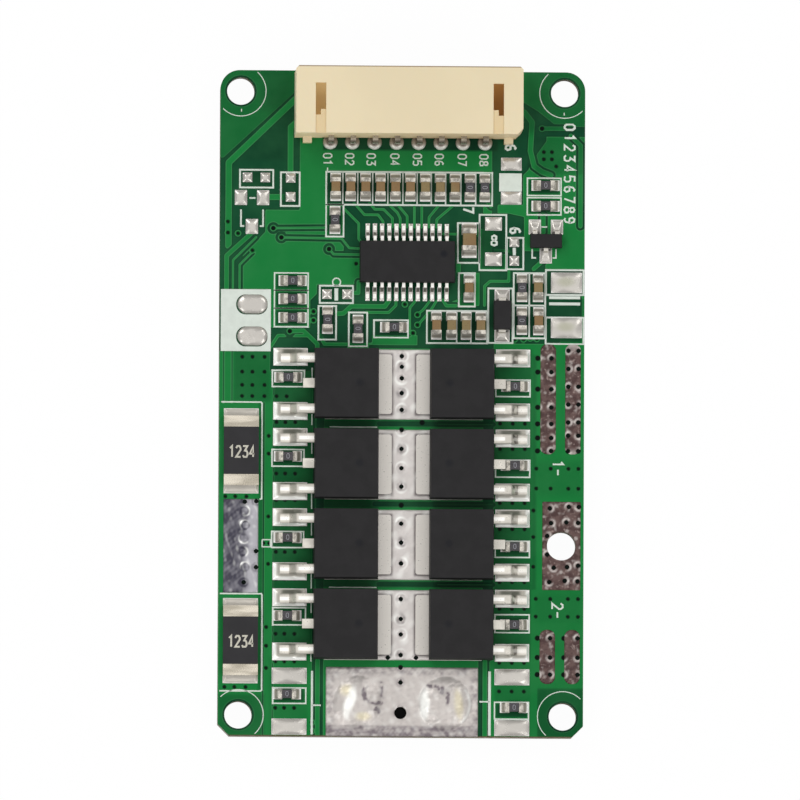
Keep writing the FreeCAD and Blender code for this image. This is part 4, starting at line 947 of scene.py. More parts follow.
# Copper areas on the face, as corners from the board's middle.
POURS = [
    [(-16.5, 30.15), (-9.3, 30.15), (-9.3, 28.6), (-16.2, 22.2), (-16.5, 22.2)],
    [(-9.3, 24.3), (8.1, 24.3), (8.1, 21.1), (-6.95, 21.1), (-6.95, 18.1), (-5.3, 18.1),
     (-5.3, 13.2), (-3.7, 13.2), (-3.7, 9.75), (-4.3, 9.75), (-4.3, 10.75), (-7.7, 10.75),
     (-7.7, 9.9), (-8.3, 9.3), (-8.3, 6.8), (-11.9, 6.8), (-11.9, 10.3), (-14.45, 10.3),
     (-14.45, 13.3), (-12.4, 15.5), (-12.4, 17.5), (-9.3, 17.5)],
    [(-16.5, 4.7), (-11.9, 4.7), (-11.9, 2.9), (-8.0, 2.9), (-8.0, -30.15), (-16.5, -30.15)],
    [(-7.7, 6.3), (-7.1, 5.2), (-4.9, 5.2), (-4.9, 4.9), (-3.0, 4.9), (-3.0, 5.3),
     (1.4, 5.3), (1.4, 6.2), (-2.7, 6.2), (-2.7, 5.5), (-3.2, 5.5), (-6.9, 5.5), (-7.2, 6.3)],
    [(8.6, 18.1), (10.9, 18.1), (10.9, 20.8), (11.4, 21.3), (11.4, 24.0), (12.0, 22.5),
     (13.0, 23.9), (13.0, 24.3), (16.5, 24.3), (16.5, 5.2), (14.3, 5.2), (14.3, 9.8),
     (16.3, 9.8), (16.3, 12.3), (12.95, 12.3), (12.95, 13.9), (11.0, 13.9), (11.0, 17.0),
     (9.6, 17.3), (8.6, 17.3)],
    [(8.3, 5.5), (16.5, 5.5), (16.5, -30.15), (7.1, -30.15), (7.1, -23.2), (8.3, -23.2)],
    [(-7.0, 5.0), (7.4, 5.0), (7.4, -30.15), (-7.0, -30.15)],
    [(6.5, 15.9), (8.3, 15.9), (8.3, 14.3), (9.4, 14.3), (9.4, 12.2), (6.9, 12.2), (6.9, 13.2),
     (7.1, 13.2), (7.1, 15.2), (6.5, 15.2)],
    [(4.9, 12.9), (5.3, 12.9), (5.3, 9.6), (4.3, 9.2), (4.3, 8.6), (5.2, 8.6), (5.2, 8.9),
     (7.0, 8.9), (7.0, 11.9), (4.9, 11.9)],
    [(10.9, 30.15), (16.5, 30.15), (16.5, 25.2), (14.0, 25.2), (12.2, 26.6), (10.9, 27.4)],
    [(7.3, 24.3), (8.1, 24.3), (8.1, 17.2), (7.3, 17.2)],
]

# Etched strips between the copper areas.
MOATS = [
    ([(-12.45, 0.0), (-12.45, -30.15)], 0.13),
    ([(-11.55, 2.9), (-11.55, -30.15)], 0.1),
    ([(-16.1, 4.7), (-16.1, 0.0)], 0.12), ([(-15.35, 4.7), (-15.35, 0.0)], 0.12),
    ([(-7.55, 5.0), (-7.55, -30.15)], 0.5),
    ([(7.75, 5.0), (7.75, -23.3)], 0.5), ([(7.2, -23.3), (7.2, -30.15)], 0.35),
    ([(-2.0, -1.83), (8.3, -1.83)], 0.45), ([(-2.4, -9.1), (8.3, -9.1)], 0.45),
    ([(-2.0, -16.35), (8.3, -16.35)], 0.45),
]

# Traces: path and width.
TRACES = [
    ([(-9.3, 27.95), (-15.72, 21.75), (-15.72, 14.2)], 0.58),
    ([(-9.3, 25.75), (-10.14, 25.0), (-10.14, 20.9)], 0.52),
    ([(-12.6, 18.65), (-10.2, 18.65)], 0.55),
    ([(-11.67, 15.83), (-6.9, 15.9)], 0.22), ([(-10.94, 14.99), (-5.48, 14.93),
                                              (-4.8, 14.08), (-3.8, 14.02)], 0.22),
    ([(-6.62, 13.97), (-6.2, 13.5), (-3.8, 13.48)], 0.22),
    ([(-5.25, 17.6), (-3.95, 16.3), (-3.95, 14.9), (-3.7, 14.6)], 0.24),
    ([(-4.4, 18.2), (-3.44, 17.1), (-2.2, 17.1), (-1.75, 16.5), (-1.75, 16.0)], 0.24),
    ([(-3.0, 18.2), (-2.5, 17.6), (-1.7, 17.6), (-0.9, 16.8), (-0.9, 16.0)], 0.24),
    ([(-1.4, 18.2), (-0.45, 17.3), (-0.2, 16.8), (-0.2, 16.0)], 0.24),
    ([(-0.5, 18.1), (0.43, 17.0), (0.43, 16.0)], 0.24), ([(1.08, 18.0), (1.08, 16.0)], 0.24),
    ([(1.75, 18.0), (1.75, 16.0)], 0.24), ([(3.3, 18.0), (2.4, 16.9), (2.4, 16.0)], 0.24),
    ([(4.6, 18.0), (3.1, 16.7), (3.1, 16.0)], 0.24), ([(5.0, 15.4), (3.7, 15.4)], 0.24),
    ([(-15.88, 5.4), (-15.88, 10.3), (-15.88, 13.3), (-13.7, 15.3)], 0.42),
    ([(-15.3, 10.3), (-15.3, 12.9), (-13.2, 15.0)], 0.2),
    ([(-14.7, 10.3), (-14.7, 12.5), (-13.6, 13.6)], 0.2),
    ([(-10.14, 6.5), (-8.9, 6.55), (-7.65, 5.35), (-7.65, 4.7)], 0.4),
    ([(-11.9, 5.0), (-11.2, 6.1), (-8.6, 6.1)], 0.3),
    ([(-5.9, 8.1), (-5.3, 8.15), (-4.6, 8.8), (-1.55, 8.8), (-1.2, 9.3)], 0.42),
    ([(-3.3, 8.25), (-1.2, 8.25), (-0.55, 8.9), (-0.55, 9.5)], 0.26),
    ([(-4.6, 10.0), (-3.95, 10.0), (-3.95, 11.0)], 0.35),
    ([(1.2, 9.3), (0.7, 8.7), (0.7, 6.4)], 0.24), ([(2.5, 9.3), (1.9, 8.5), (1.5, 8.2)], 0.24),
    ([(3.1, 9.3), (2.6, 8.5), (1.5, 7.2)], 0.24), ([(3.7, 9.4), (4.0, 8.9), (4.9, 8.9)], 0.3),
    ([(11.0, 26.5), (11.7, 25.6), (11.55, 23.0), (11.9, 21.6), (12.6, 21.1), (13.4, 20.8)], 0.5),
    ([(12.6, 25.03), (14.6, 25.03)], 0.4),
    ([(15.2, 24.4), (16.1, 23.5), (16.1, 16.2)], 0.4),
    ([(7.45, 8.95), (7.45, 10.7), (7.95, 11.15), (9.65, 11.15), (9.65, 12.3)], 0.26),
    ([(12.7, 17.2), (12.7, 15.6)], 0.5), ([(12.9, 13.2), (11.9, 12.3)], 0.4),
    ([(8.4, 14.0), (9.6, 13.9), (10.1, 13.6)], 0.24), ([(8.0, 17.9), (7.6, 18.4)], 0.3),
    ([(-7.5, -23.3), (-7.5, -30.15)], 0.42), ([(7.62, -23.3), (7.62, -30.15)], 0.42),
    ([(-7.75, 4.9), (-7.75, -22.9)], 0.14), ([(3.3, -1.83), (8.2, -1.83)], 0.12),
    ([(3.0, -9.1), (8.2, -9.1)], 0.12), ([(3.3, -16.35), (8.2, -16.35)], 0.12),
]

# Zones of painted shade, where parts shade the mask beside and between them, and of darker tone:
# box, how much, and how soft the border is.
SHADE_AND_TONE_ZONES = [
    ((-7.2, 8.6, 22.95, 25.0), 1.0, 0.12), ((-17.5, -9.3, 22.0, 31.2), 0.42, 0.3),
    ((-13.5, -9.3, 25.8, 31.2), 0.62, 1.6), ((10.9, 17.5, 24.6, 31.2), 0.5, 0.6),
    ((12.0, 16.5, 20.9, 24.3), 0.35, 0.2), ((9.5, 16.5, -30.15, -16.6), 0.12, 0.6),
    ((-11.6, -8.0, -22.9, 4.9), 0.68, 0.12), ((8.3, 11.75, -23.0, 4.9), 0.6, 0.2),
    ((-11.9, -8.4, -30.1, -23.0), 0.2, 0.2), ((8.5, 11.8, -30.1, -23.0), 0.3, 0.2),
    ((12.35, 16.5, -30.15, -25.7), 0.65, 0.1), ((-16.5, -12.3, -30.15, -26.4), 0.45, 0.25),
    ((-12.9, -12.45, -26.0, 0.0), 0.45, 0.1), ((-15.2, -11.8, 0.1, 4.9), 0.42, 0.3),
    ((-2.4, 8.3, -2.1, -1.5), 0.72, 0.1), ((-2.4, 8.3, -9.4, -8.8), 0.72, 0.1),
    ((-2.4, 8.3, -16.65, -16.1), 0.72, 0.1), ((-8.0, -2.0, -2.2, -1.5), 0.76, 0.1),
    ((-8.0, -2.0, -9.5, -8.7), 0.76, 0.1), ((-8.0, -2.0, -16.7, -15.9), 0.76, 0.1),
    ((11.9, 16.4, -8.3, -5.1), 0.22, 0.6), ((11.9, 16.4, -19.9, -17.0), 0.22, 0.6),
    ((11.75, 12.2, -16.8, 4.5), 0.45, 0.15), ((12.9, 16.4, 7.8, 9.6), 0.5, 0.1),
]

# Plugged holes that end a trace inside a copper area.
ALONE = [(-11.67, 15.83), (-10.94, 14.99), (-6.62, 13.97), (-10.14, 6.5), (12.6, 25.03)]


def grid_of(xs, ys):
    """Places at every crossing of some lines."""
    return [(x, y) for x in xs for y in ys]


# Plugged holes under the mask.
TENTED = (
    [(-15.77, 16.4), (-15.77, 15.4), (-14.86, 15.34), (-13.55, 13.8), (-11.67, 15.83),
     (-10.94, 14.99), (-6.62, 13.97), (-4.17, 12.66), (-10.14, 6.52), (-8.0, 8.3), (-8.0, 7.5),
     (0.25, 9.0), (1.4, 8.06), (1.4, 7.15), (1.0, 6.4), (12.6, 25.03), (12.77, 22.25),
     (13.5, 22.25), (13.5, 22.9), (12.77, 22.9), (13.9, 21.6), (10.2, 5.9), (11.0, 5.9),
     (11.6, 6.0), (12.2, 5.95), (-12.1, 8.0)]
    + grid_of((-14.42, -13.5, -12.4), (4.16, 2.8, 1.6, 0.6))
    + grid_of((12.2, 13.5, 15.1, 16.0), (-5.8, -7.6, -17.6, -19.2))
    + grid_of((11.95,), (-9.6, -12.0, -14.7)) + grid_of((-12.0,), (-3.0, -4.6, -10.3, -14.6))
    + grid_of((-11.3, -10.5, -9.6), (-1.75, -6.4, -8.8, -13.5, -15.95, -20.9, -23.4, -27.6))
    + grid_of((-12.15,), (-20.3, -22.0, -24.0)) + grid_of((-11.3, -10.4), (0.6,))
    + grid_of((8.9, 10.05, 11.15), (-1.75, -4.05, -8.95, -11.3, -16.1, -18.5, -23.4, -26.0))
    + grid_of((-15.9, -15.0, -14.0), (-8.5, -17.1, -25.75)) + [(-8.0, -28.9), (-8.0, -29.7)]
)

# Open holes in the bare lands, and blobs of solder on the sense land.
DRAIN_VIAS = [(0.0, y) for y in (4.3, 3.34, 2.3, 0.95, -0.57, -2.39, -4.1, -5.85, -7.52, -9.2,
                                 -10.87, -12.58, -14.47, -17.7, -19.5, -20.9, -22.77)]
FAR_VIAS = [(0.0, -23.9), (0.0, -25.25), (-1.16, -23.0), (1.4, -23.0), (1.86, -1.7)]
SENSE_VIAS = [(-14.14, -8.98), (-13.1, -8.92), (-13.1, -13.44), (-13.1, -14.9), (-14.2, -16.27)]
SENSE_BUMPS = [(-14.14, -9.83), (-14.1, -11.1), (-14.2, -12.3), (-14.3, -13.5), (-14.1, -14.9)]
STRIP_VIAS = (grid_of((12.3, 13.53), (4.2, 2.95, 1.4, -0.25, -1.75, -3.02, -4.2))
              + grid_of((15.06, 15.98), (4.9, 3.25, 1.63, 0.02, -1.6, -2.8, -4.2))
              + grid_of((12.35, 13.5, 14.75, 15.98), (-21.15, -22.9, -24.45)))
MINUS_VIAS = [(13.43, -9.4), (15.15, -9.26), (16.05, -9.26), (13.54, -10.74), (14.93, -10.66),
              (16.0, -10.7), (13.2, -11.9), (13.2, -13.58), (13.8, -14.77), (15.0, -14.7),
              (16.0, -14.58), (13.4, -16.07), (14.8, -15.95), (15.95, -16.0)]
SMALL_VIAS = [(-12.42, -12.72), (-11.93, -12.72)]
VIA_R, SMALL_VIA_R = 0.21, 0.17
# Etched round each screw hole, and a bare block between two printed bars.
SCREW_CLEAR_R = 1.42
BARE_BLOCK = (12.95, 16.25, 7.85, 9.75)


def lay_out(art):
    """Draw the whole copper pattern into the artwork."""
    for corners in POURS:
        art.add(polygon_shape(corners))
    for line in MOATS:
        art.cut(line_shape(*line))
    art.cut(box_shape(*BARE_BLOCK))
    for line in TRACES:
        art.trace(*line)
    for screw in SCREWS:
        art.cut(disc_shape(*screw, SCREW_CLEAR_R))
    # Painted shade where parts shade the mask, and darker tone.
    for box, amount, soft in SHADE_AND_TONE_ZONES:
        art.darken(box, amount, soft)
    for line in TRACES[:2]:
        art.lighten(line_shape(*line))
    # Painted shade inside each printed frame, round and between the small parts.
    for x0, x1, y0, y1 in FRAMES_PRINTED:
        art.darken((x0 + 0.15, x1 - 0.15, y0 + 0.15, y1 - 0.15), 0.85, 0.1)
    # Painted shade of the plugged holes, by the drill field.
    for spot in TENTED:
        art.via(*spot, 0.2, 0.3, depth=0.045)
    for path, width in TRACES:
        if path[0] in ALONE:
            art.via(*path[0], 0.22, 0.3, 0.24)
            art.add(line_shape(path, width))
    # Painted shade: near-black on the mask under the open holes of the lands.
    for spot in DRAIN_VIAS + FAR_VIAS + SENSE_VIAS + STRIP_VIAS + MINUS_VIAS:
        art.via(*spot, VIA_R + 0.04)
    for spot in SMALL_VIAS:
        art.via(*spot, SMALL_VIA_R)


def ease(value, low, high):
    """Smooth step from 0 at low to 1 at high."""
    share = np.clip((value - low) / (high - low), 0, 1)
    return share * share * (3 - 2 * share)


def make_mask_surface(sizes):
    """Thin sheet of solder mask over the laminate, in two halves: it rises by the copper's
    height over each trace, dips where a hole is plugged and stops at the rims."""
    step = sizes.grid / MM
    art = Artwork(step)
    lay_out(art)
    x, y, near, kept = snapped(art.x, art.y, BOARD_FIELD, step)
    z = (BOARD_TOP + 0.006 + sizes.copper / MM * ease(art.copper, -0.06, 0.08)
         - 0.045 * ease(art.drill, -0.12, 0.06))
    z = np.where(near, BOARD_TOP, np.maximum(z, BOARD_TOP + 0.004))
    middle = len(art.along) // 2
    for name, rows in (("mask_lower", slice(0, middle + 1)), ("mask_upper", slice(middle, None))):
        used, triangles = kept_triangles(kept[:, rows])
        places = np.column_stack([grid[:, rows].ravel()[used] for grid in (x, y, z)])
        fields = {label: getattr(art, label)[:, rows].ravel()[used]
                  for label in ("copper", "drill", "shade")}
        piece = put_mesh(name, places, [triangles], FINISHES["mask"], values=fields)
        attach(piece, "root")


# Print


STROKES = {
    "0": [[(0.3, 0), (0, 0.4), (0, 1.6), (0.3, 2), (0.7, 2), (1, 1.6), (1, 0.4), (0.7, 0),
           (0.3, 0)]],
    "1": [[(0.15, 1.6), (0.6, 2), (0.6, 0)]],
    "2": [[(0, 1.6), (0.25, 2), (0.75, 2), (1, 1.6), (1, 1.3), (0, 0), (1, 0)]],
    "3": [[(0, 2), (1, 2), (0.45, 1.15), (0.8, 1.1), (1, 0.8), (1, 0.3), (0.8, 0), (0.2, 0),
           (0, 0.3)]],
    "4": [[(0.75, 0), (0.75, 2), (0, 0.6), (1, 0.6)]],
    "5": [[(1, 2), (0.1, 2), (0, 1.1), (0.7, 1.2), (1, 0.9), (1, 0.3), (0.7, 0), (0, 0.1)]],
    "6": [[(0.9, 1.8), (0.6, 2), (0.2, 1.7), (0, 0.8), (0.2, 0.1), (0.7, 0), (1, 0.4),
           (0.8, 1), (0.2, 1), (0, 0.7)]],
    "7": [[(0, 2), (1, 2), (0.35, 0)]],
    "8": [[(0.5, 1.05), (0.1, 1.3), (0.1, 1.8), (0.5, 2), (0.9, 1.8), (0.9, 1.3),
           (0.5, 1.05), (0, 0.7), (0, 0.2), (0.5, 0), (1, 0.2), (1, 0.7), (0.5, 1.05)]],
    "9": [[(0.1, 0.2), (0.4, 0), (0.8, 0.3), (1, 1.2), (0.8, 1.9), (0.3, 2), (0, 1.6),
           (0.2, 1), (0.8, 1), (1, 1.3)]],
    "+": [[(0, 1), (1, 1)], [(0.5, 0.4), (0.5, 1.6)]],
    "-": [[(0, 1), (1, 1)]],
}

# Marks: text, middle, height of a character, and turn in degrees.
MARKS = [
    *[(f"0{number}", x, 22.13, 0.74, -90) for number, x in enumerate(
        (-6.79, -4.8, -2.85, -0.71, 1.33, 3.3, 5.38, 7.34), 1)],
    ("6", 9.76, 23.3, 0.9, -90), ("7", 5.95, 17.6, 0.9, -90), ("6", 10.2, 15.75, 0.9, -90),
    ("0123456789", 15.1, 20.95, 0.92, -90), ("1-", 14.15, -5.75, 0.95, -90),
    ("2-", 14.15, -18.65, 0.95, -90), ("8", 8.3, 14.85, 0.9, 0),
]

# Printed frames round small parts: left, right, low and high edge.
FRAMES_PRINTED = [
    (-6.9, 8.1, 18.0, 20.98), (-6.9, -5.33, 15.1, 18.0), (-11.54, -8.5, 10.2, 11.77),
    (-11.54, -8.5, 8.57, 10.2), (-11.54, -8.5, 6.9, 8.57), (-7.55, -5.96, 5.75, 8.8),
    (-4.8, -3.15, 5.16, 8.23), (-2.53, 0.55, 5.98, 7.55), (11.29, 14.34, 18.95, 20.52),
    (11.29, 14.34, 17.2, 18.75), (5.13, 6.58, 8.85, 11.86), (2.26, 7.7, 5.5, 8.43),
    (10.1, 12.94, 6.0, 11.9), (5.02, 6.97, 12.8, 16.4), (-14.7, -11.7, 19.5, 21.1),
    (-11.0, -9.3, 17.85, 20.9), (-7.44, -4.44, 9.08, 10.64), (6.98, 9.4, 12.15, 17.17),
    (9.45, 10.95, 12.25, 15.1), (7.8, 10.0, 5.55, 10.5), (13.0, 16.4, 9.95, 12.2),
    (13.0, 16.4, 5.5, 7.9), (-11.7, -8.8, 1.47, 2.94), (-11.7, -8.8, -5.74, -4.23),
    (-11.7, -8.8, -13.1, -11.65), (-11.56, -8.6, -20.1, -18.55), (-11.53, -8.55, -27.2, -25.8),
    (8.5, 11.6, 0.7, 2.2), (8.5, 11.6, -6.6, -5.06), (8.5, 11.6, -13.86, -12.4),
    (8.5, 11.6, -20.67, -19.05), (8.5, 11.57, -28.5, -26.98),
]

# Printed lines: path and width.
LINES_PRINTED = [
    *[([(x, 18.0), (x, 20.98)], 0.13) for x in (-5.4, -4.05, -2.7, -1.33, 0.03, 1.32, 2.6, 3.9,
                                                5.27, 6.62)],
    ([(4.95, 5.5), (4.95, 8.43)], 0.13), ([(6.23, 5.5), (6.23, 8.43)], 0.13),
    ([(11.5, 6.0), (11.5, 11.9)], 0.16), ([(10.1, 8.97), (12.94, 8.97)], 0.16),
    ([(-6.79, 21.35), (-6.79, 20.98)], 0.13), ([(-13.85, 18.55), (-13.3, 18.55)], 0.16),
    ([(-14.6, 17.5), (-14.6, 16.0), (-14.3, 16.0)], 0.16),
    ([(-12.6, 17.5), (-12.6, 16.0), (-12.9, 16.0)], 0.16), ([(12.55, 16.1), (13.1, 16.1)], 0.16),
    ([(11.75, 14.1), (11.75, 13.3), (12.1, 13.3)], 0.16),
    ([(13.9, 14.1), (13.9, 13.3), (13.6, 13.3)], 0.16), ([(-5.95, 9.3), (-5.95, 10.4)], 0.35),
    ([(10.13, 13.5), (10.13, 14.2)], 0.3), ([(13.3, 9.7), (16.1, 9.7)], 0.27),
    ([(13.3, 9.14), (16.1, 9.14)], 0.27), ([(-8.0, -24.25), (-8.0, -30.0)], 0.22),
    ([(-8.0, -27.35), (-7.19, -27.35)], 0.16), ([(8.05, -24.2), (8.05, -30.0)], 0.28),
    ([(8.05, -26.94), (7.14, -26.94)], 0.16), ([(-16.3, 0.05), (-12.7, 0.05), (-12.62, -0.05),
                                               (-12.62, -8.7), (-12.8, -8.75)], 0.17),
    ([(-16.35, -17.3), (-12.6, -17.3), (-12.55, -17.4), (-12.55, -26.0), (-12.65, -26.1),
      (-16.35, -26.1)], 0.17),
    ([(-6.5, -2.15), (-2.2, -2.15)], 0.13), ([(-6.5, -16.67), (-2.2, -16.67)], 0.13),
    *[([(-8.1, y), (-8.1, y - drop)], 0.13) for y, drop in (
        (3.2, 1.6), (-1.0, 1.0), (-3.4, 1.2), (-8.0, 1.6), (-10.6, 1.4), (-15.4, 1.4),
        (-17.8, 1.2), (-22.6, 0.8))],
    ([(-12.55, -12.4), (-11.8, -12.4), (-11.8, -13.05), (-12.55, -13.05), (-12.55, -12.4)], 0.13),
    ([(-14.6, 26.62), (-14.6, 26.38)], 0.13), ([(14.6, 26.47), (14.6, 26.23)], 0.13),
]
# Solid printed blocks: round the two oval lands, and over an empty place.
BLOCK_PRINTED = (-16.38, -11.86, 4.66, 10.27)
LAMP_BLOCK = (8.74, 10.78, 19.3, 20.94)


def strokes_of(text, cx, cy, height, turn, spacing=0.8):
    """Paths of a short text whose middle lies at a point."""
    scale, pitch = height / 2, height * spacing
    angle = math.radians(turn)
    paths = []
    for place, sign in enumerate(text):
        shift = (place - (len(text) - 1) / 2) * pitch
        for path in STROKES[sign]:
            flat = (np.array(path, float) - (0.5, 1.0)) * (scale * 1.05, scale) + (shift, 0)
            paths.append(np.column_stack([
                cx + flat[:, 0] * math.cos(angle) - flat[:, 1] * math.sin(angle),
                cy + flat[:, 0] * math.sin(angle) + flat[:, 1] * math.cos(angle)]))
    return paths


def clip_to_board(path, inset):
    """The runs of a finely divided path that stay clear of the board's edge."""
    inside = BOARD_FIELD(path[:, 0], path[:, 1]) > inset
    breaks = np.flatnonzero(np.diff(inside)) + 1
    runs = zip(np.split(path, breaks), np.split(inside, breaks))
    return [run for run, good in runs if good[0] and len(run) > 2]


# Rings round the screw holes and at a small part: radius and width of the line.
SCREW_RING = (2.27, 0.11)
SMALL_RING = (0.36, 0.15)
SMALL_RING_AT = (-5.93, 10.97)


def make_print(sizes):
    """White print: frames, separators, rings round the screw holes, signs and digits."""
    heap = Heap()
    base, height = BOARD_TOP + 0.02, sizes.print_height / MM + 0.03
    line = sizes.print_line / MM
    for x0, x1, y0, y1 in FRAMES_PRINTED:
        heap.add(*ribbon([(x0, y0), (x1, y0), (x1, y1), (x0, y1)], line, base, height, True))
    for path, width in LINES_PRINTED:
        heap.add(*ribbon(path, width, base, height))
    for text, cx, cy, size, turn in MARKS:
        spacing = 0.82 if len(text) == 2 else 1.02
        for path in strokes_of(text, cx, cy, size, turn, spacing):
            heap.add(*ribbon(path, 0.16 if size < 0.8 else 0.2, base, height))
    for cx, cy in SCREWS:
        angles = np.linspace(0, 2 * np.pi, 97) + math.atan2(np.sign(cy), np.sign(cx))
        for run in clip_to_board(circle(cx, cy, SCREW_RING[0], angles), 0.15):
            heap.add(*ribbon(run, SCREW_RING[1], base, height))
    heap.add(*ribbon(circle(*SMALL_RING_AT, SMALL_RING[0], all_round(16)), SMALL_RING[1], base,
                     height, True))
    slots = [box_shape(low[0] - 0.1, high[0], low[1] - 0.07, high[1], 0.86)
             for low, high in islands("slot_solder")]
    for window, step, holes in ((BLOCK_PRINTED, 0.12, slots), (LAMP_BLOCK, 0.3, [])):
        heap.add(*plate(window, step, hollowed(box_shape(*window), holes),
                        lambda x, y: base + height + 0 * x, base))
    heap.finish("board_print", FINISHES["ink"], "board", smooth=False)


# Where the control chip's round mark lies, and the profile of a mark: share of the radius,
# height and how deep the colour is.
CHIP_MARK = (3.72, 13.5)
MARK_SHARES = np.array([0.04, 0.3, 0.5, 0.7, 0.85, 1.0])
MARK_RISE = np.array([0.004, 0.004, 0.004, 0.004, 0.004, 0.0])
MARK_DEPTH = [1, 0.9, 0.7, 0.35, 0.1, 0.0]


def make_part_marks():
    """Plain digits on the current-sense and chip resistors, and faint moulding marks on
    the power transistors and the control chip."""
    heap = Heap()
    for number in (1, 2):
        body = corners_mm(f"sense_resistor_body_{number}")
        (cx, cy), level = middle_of(body), body[1][2]
        rise = min(0.03, corners_mm(f"sense_resistor_ends_{number}")[1][2] - level)
        for path in strokes_of("1234", cx + 0.05, cy - 0.1, 0.98, 0):
            heap.add(*ribbon(path * (0.78, 1.0) + (cx * 0.22, 0), 0.19, level - 0.01, rise))
    heap.finish("resistor_digits", FINISHES["digit_ink"], "shunt_coat", smooth=False)
    heap = Heap()
    spots = [(low[0] + 1.75 if high[0] > 0 else high[0] - 1.75, (low[1] + high[1]) / 2,
              high[2], 0.52, 0.6) for low, high in MOSFETS]
    spots.append((*CHIP_MARK, corners_mm("controller_body")[1][2], 0.46, 1.0))
    for cx, cy, level, radius, strength in spots:
        angles = all_round(36)
        radii = radius * MARK_SHARES[:, None]
        rings = np.stack([cx + radii * np.cos(angles), cy + radii * np.sin(angles),
                          level + MARK_RISE[:, None] + 0 * angles], -1)
        index = np.arange(len(MARK_SHARES) * 36).reshape(-1, 36)
        following = np.roll(index, -1, 1)
        quads = np.stack([index[:-1], index[1:], following[1:], following[:-1]], -1)
        heap.add(rings, [quads.reshape(-1, 4), index[:1]],
                 {"deep": np.repeat(MARK_DEPTH, 36) * strength})
    heap.finish("mould_marks", FINISHES["mould_mark"], "black_epoxy")
    heap = Heap()
    for low, high in islands("resistor_bodies"):
        turn = -90 if high[1] - low[1] > high[0] - low[0] else 0
        for path in strokes_of("0", *middle_of((low, high)), 0.42, turn):
            heap.add(*ribbon(path, 0.07, high[2] - 0.01, 0.025))
    heap.finish("chip_digits", FINISHES["chip_ink"], "resistor_ceramic", smooth=False)


# Solder


def islands(node):
    """Box of each separate solid of a node, lowest and highest corner in millimetres."""
    mesh = frame["nodes"][node].data
    points = np.empty(len(mesh.vertices) * 3)
    mesh.vertices.foreach_get("co", points)
    points = points.reshape(-1, 3) / MM
    _, same = np.unique(np.round(points, 3), axis=0, return_inverse=True)
    same = same.ravel()
    owner = np.arange(same.max() + 1)
    edges = np.empty(len(mesh.edges) * 2, np.int32)
    mesh.edges.foreach_get("vertices", edges)
    first, second = same[edges.reshape(-1, 2)].T
    while True:
        lowest = np.minimum(owner[first], owner[second])
        before = owner.copy()
        np.minimum.at(owner, first, lowest)
        np.minimum.at(owner, second, lowest)
        owner = owner[owner]
        if (before == owner).all():
            break
    group = owner[same]
    return [(points[group == label].min(0), points[group == label].max(0))
            for label in np.unique(group)]


def waves(x, y, seed, length):
    """Smooth uneven field between about -1 and 1: the mean of seven sine waves of
    different headings and lengths round the given one."""
    rng = np.random.default_rng(seed)
    total = np.zeros(np.shape(x))
    for _ in range(7):
        heading, phase = rng.uniform(0, 2 * np.pi, 2)
        k = 2 * np.pi / (length * rng.uniform(0.7, 1.5))
        total += np.sin(k * (x * math.cos(heading) + y * math.sin(heading)) + phase)
    return total / 3.5


def even_grid(low, high, count):
    """Points over a land that crowd towards its rim."""
    return np.meshgrid(spread(low[0], high[0], count), spread(low[1], high[1], count),
                       indexing="ij")


def pillow(heap, low, high, rise, seed, power=2.6, count=15):
    """Solder that has pulled itself into a pillow on a rectangular land: height
    (1 - |u|^p)(1 - |v|^p) over the land, a little uneven. Wide ones at the right edge are
    yellowish in the middle."""
    x, y = even_grid(low, high, count)
    cx, cy = middle_of((low, high))
    u = (x - cx) / ((high[0] - low[0]) / 2)
    v = (y - cy) / ((high[1] - low[1]) / 2)
    shape = (1 - np.abs(u) ** power) * (1 - np.abs(v) ** power)
    z = LAND_TOP - 0.01 + rise * (shape + 0.16 * waves(x, y, seed, 0.9) * shape)
    wide = high[0] - low[0] > 2.5 and low[0] > 12
    amber = 0.55 * np.exp(-(((u + 0.05) / 0.6) ** 2 + ((v - 0.1) / 0.5) ** 2) ** 2) * wide
    heap.add(*capped_grid(x, y, np.maximum(z, LAND_TOP - 0.01), LAND_TOP - 0.02),
             {"amber": amber})


def make_spare_solder():
    """Solder pillows on the lands of parts that are not fitted, and solder round the legs
    of the small transistor and the diode."""
    heap = Heap()
    legs = islands("transistor_legs") + islands("diode_legs")
    for number, land in enumerate(islands("spare_lands")):
        here = [leg for leg in legs if meets(land, leg)]
        if here:
            wet_land(heap, *land, here[:1], 0.16, 0.22, number)
        else:
            pillow(heap, *land, 0.16 if land[1][0] - land[0][0] < 2 else 0.2, number)
    heap.finish("spare_solder", FINISHES["spare_solder"], "solder")


def wet_land(heap, low, high, feet, rise, reach, seed, count=17, look=None):
    """Solder on a land with something standing on it: a thin coat that climbs towards
    each foot as rise times exp(-distance / reach) and thins out at the land's rim. A look
    gives point fields from the shares across and along the land."""
    x, y = even_grid(low, high, count)
    z = np.zeros(x.shape)
    for foot in feet:
        away = np.maximum(-box_shape(*plan(foot))(x, y), 0)
        z = np.maximum(z, rise * np.exp(-away / reach))
    z = (z + 0.05 + 0.02 * waves(x, y, seed, 0.8)) * ease(box_shape(*plan((low, high)))(x, y),
                                                          0, 0.22)
    fields = look((x - low[0]) / (high[0] - low[0]), (y - low[1]) / (high[1] - low[1])) \
        if look else None
    heap.add(*capped_grid(x, y, LAND_TOP - 0.01 + z, LAND_TOP - 0.02), fields)


def leg_look(u, v):
    """Painted highlight along the outer and the near rim, and a dark painted reflection beyond
    the leg.
    """
    return {"bright": np.clip(ease(0.16 - u, 0, 0.1) + ease(0.26 - v, 0, 0.14), 0, 1),
            "dull": 0.85 * ease(u, 0.2, 0.34) * ease(0.97 - u, 0, 0.2) * ease(v, 0.6, 0.75)
            * ease(1 - v, 0.03, 0.12)}


# How far from the body a power transistor's leg lies on its land, and half its width.
FOOT_START, FOOT_HALF = 1.9, 0.42


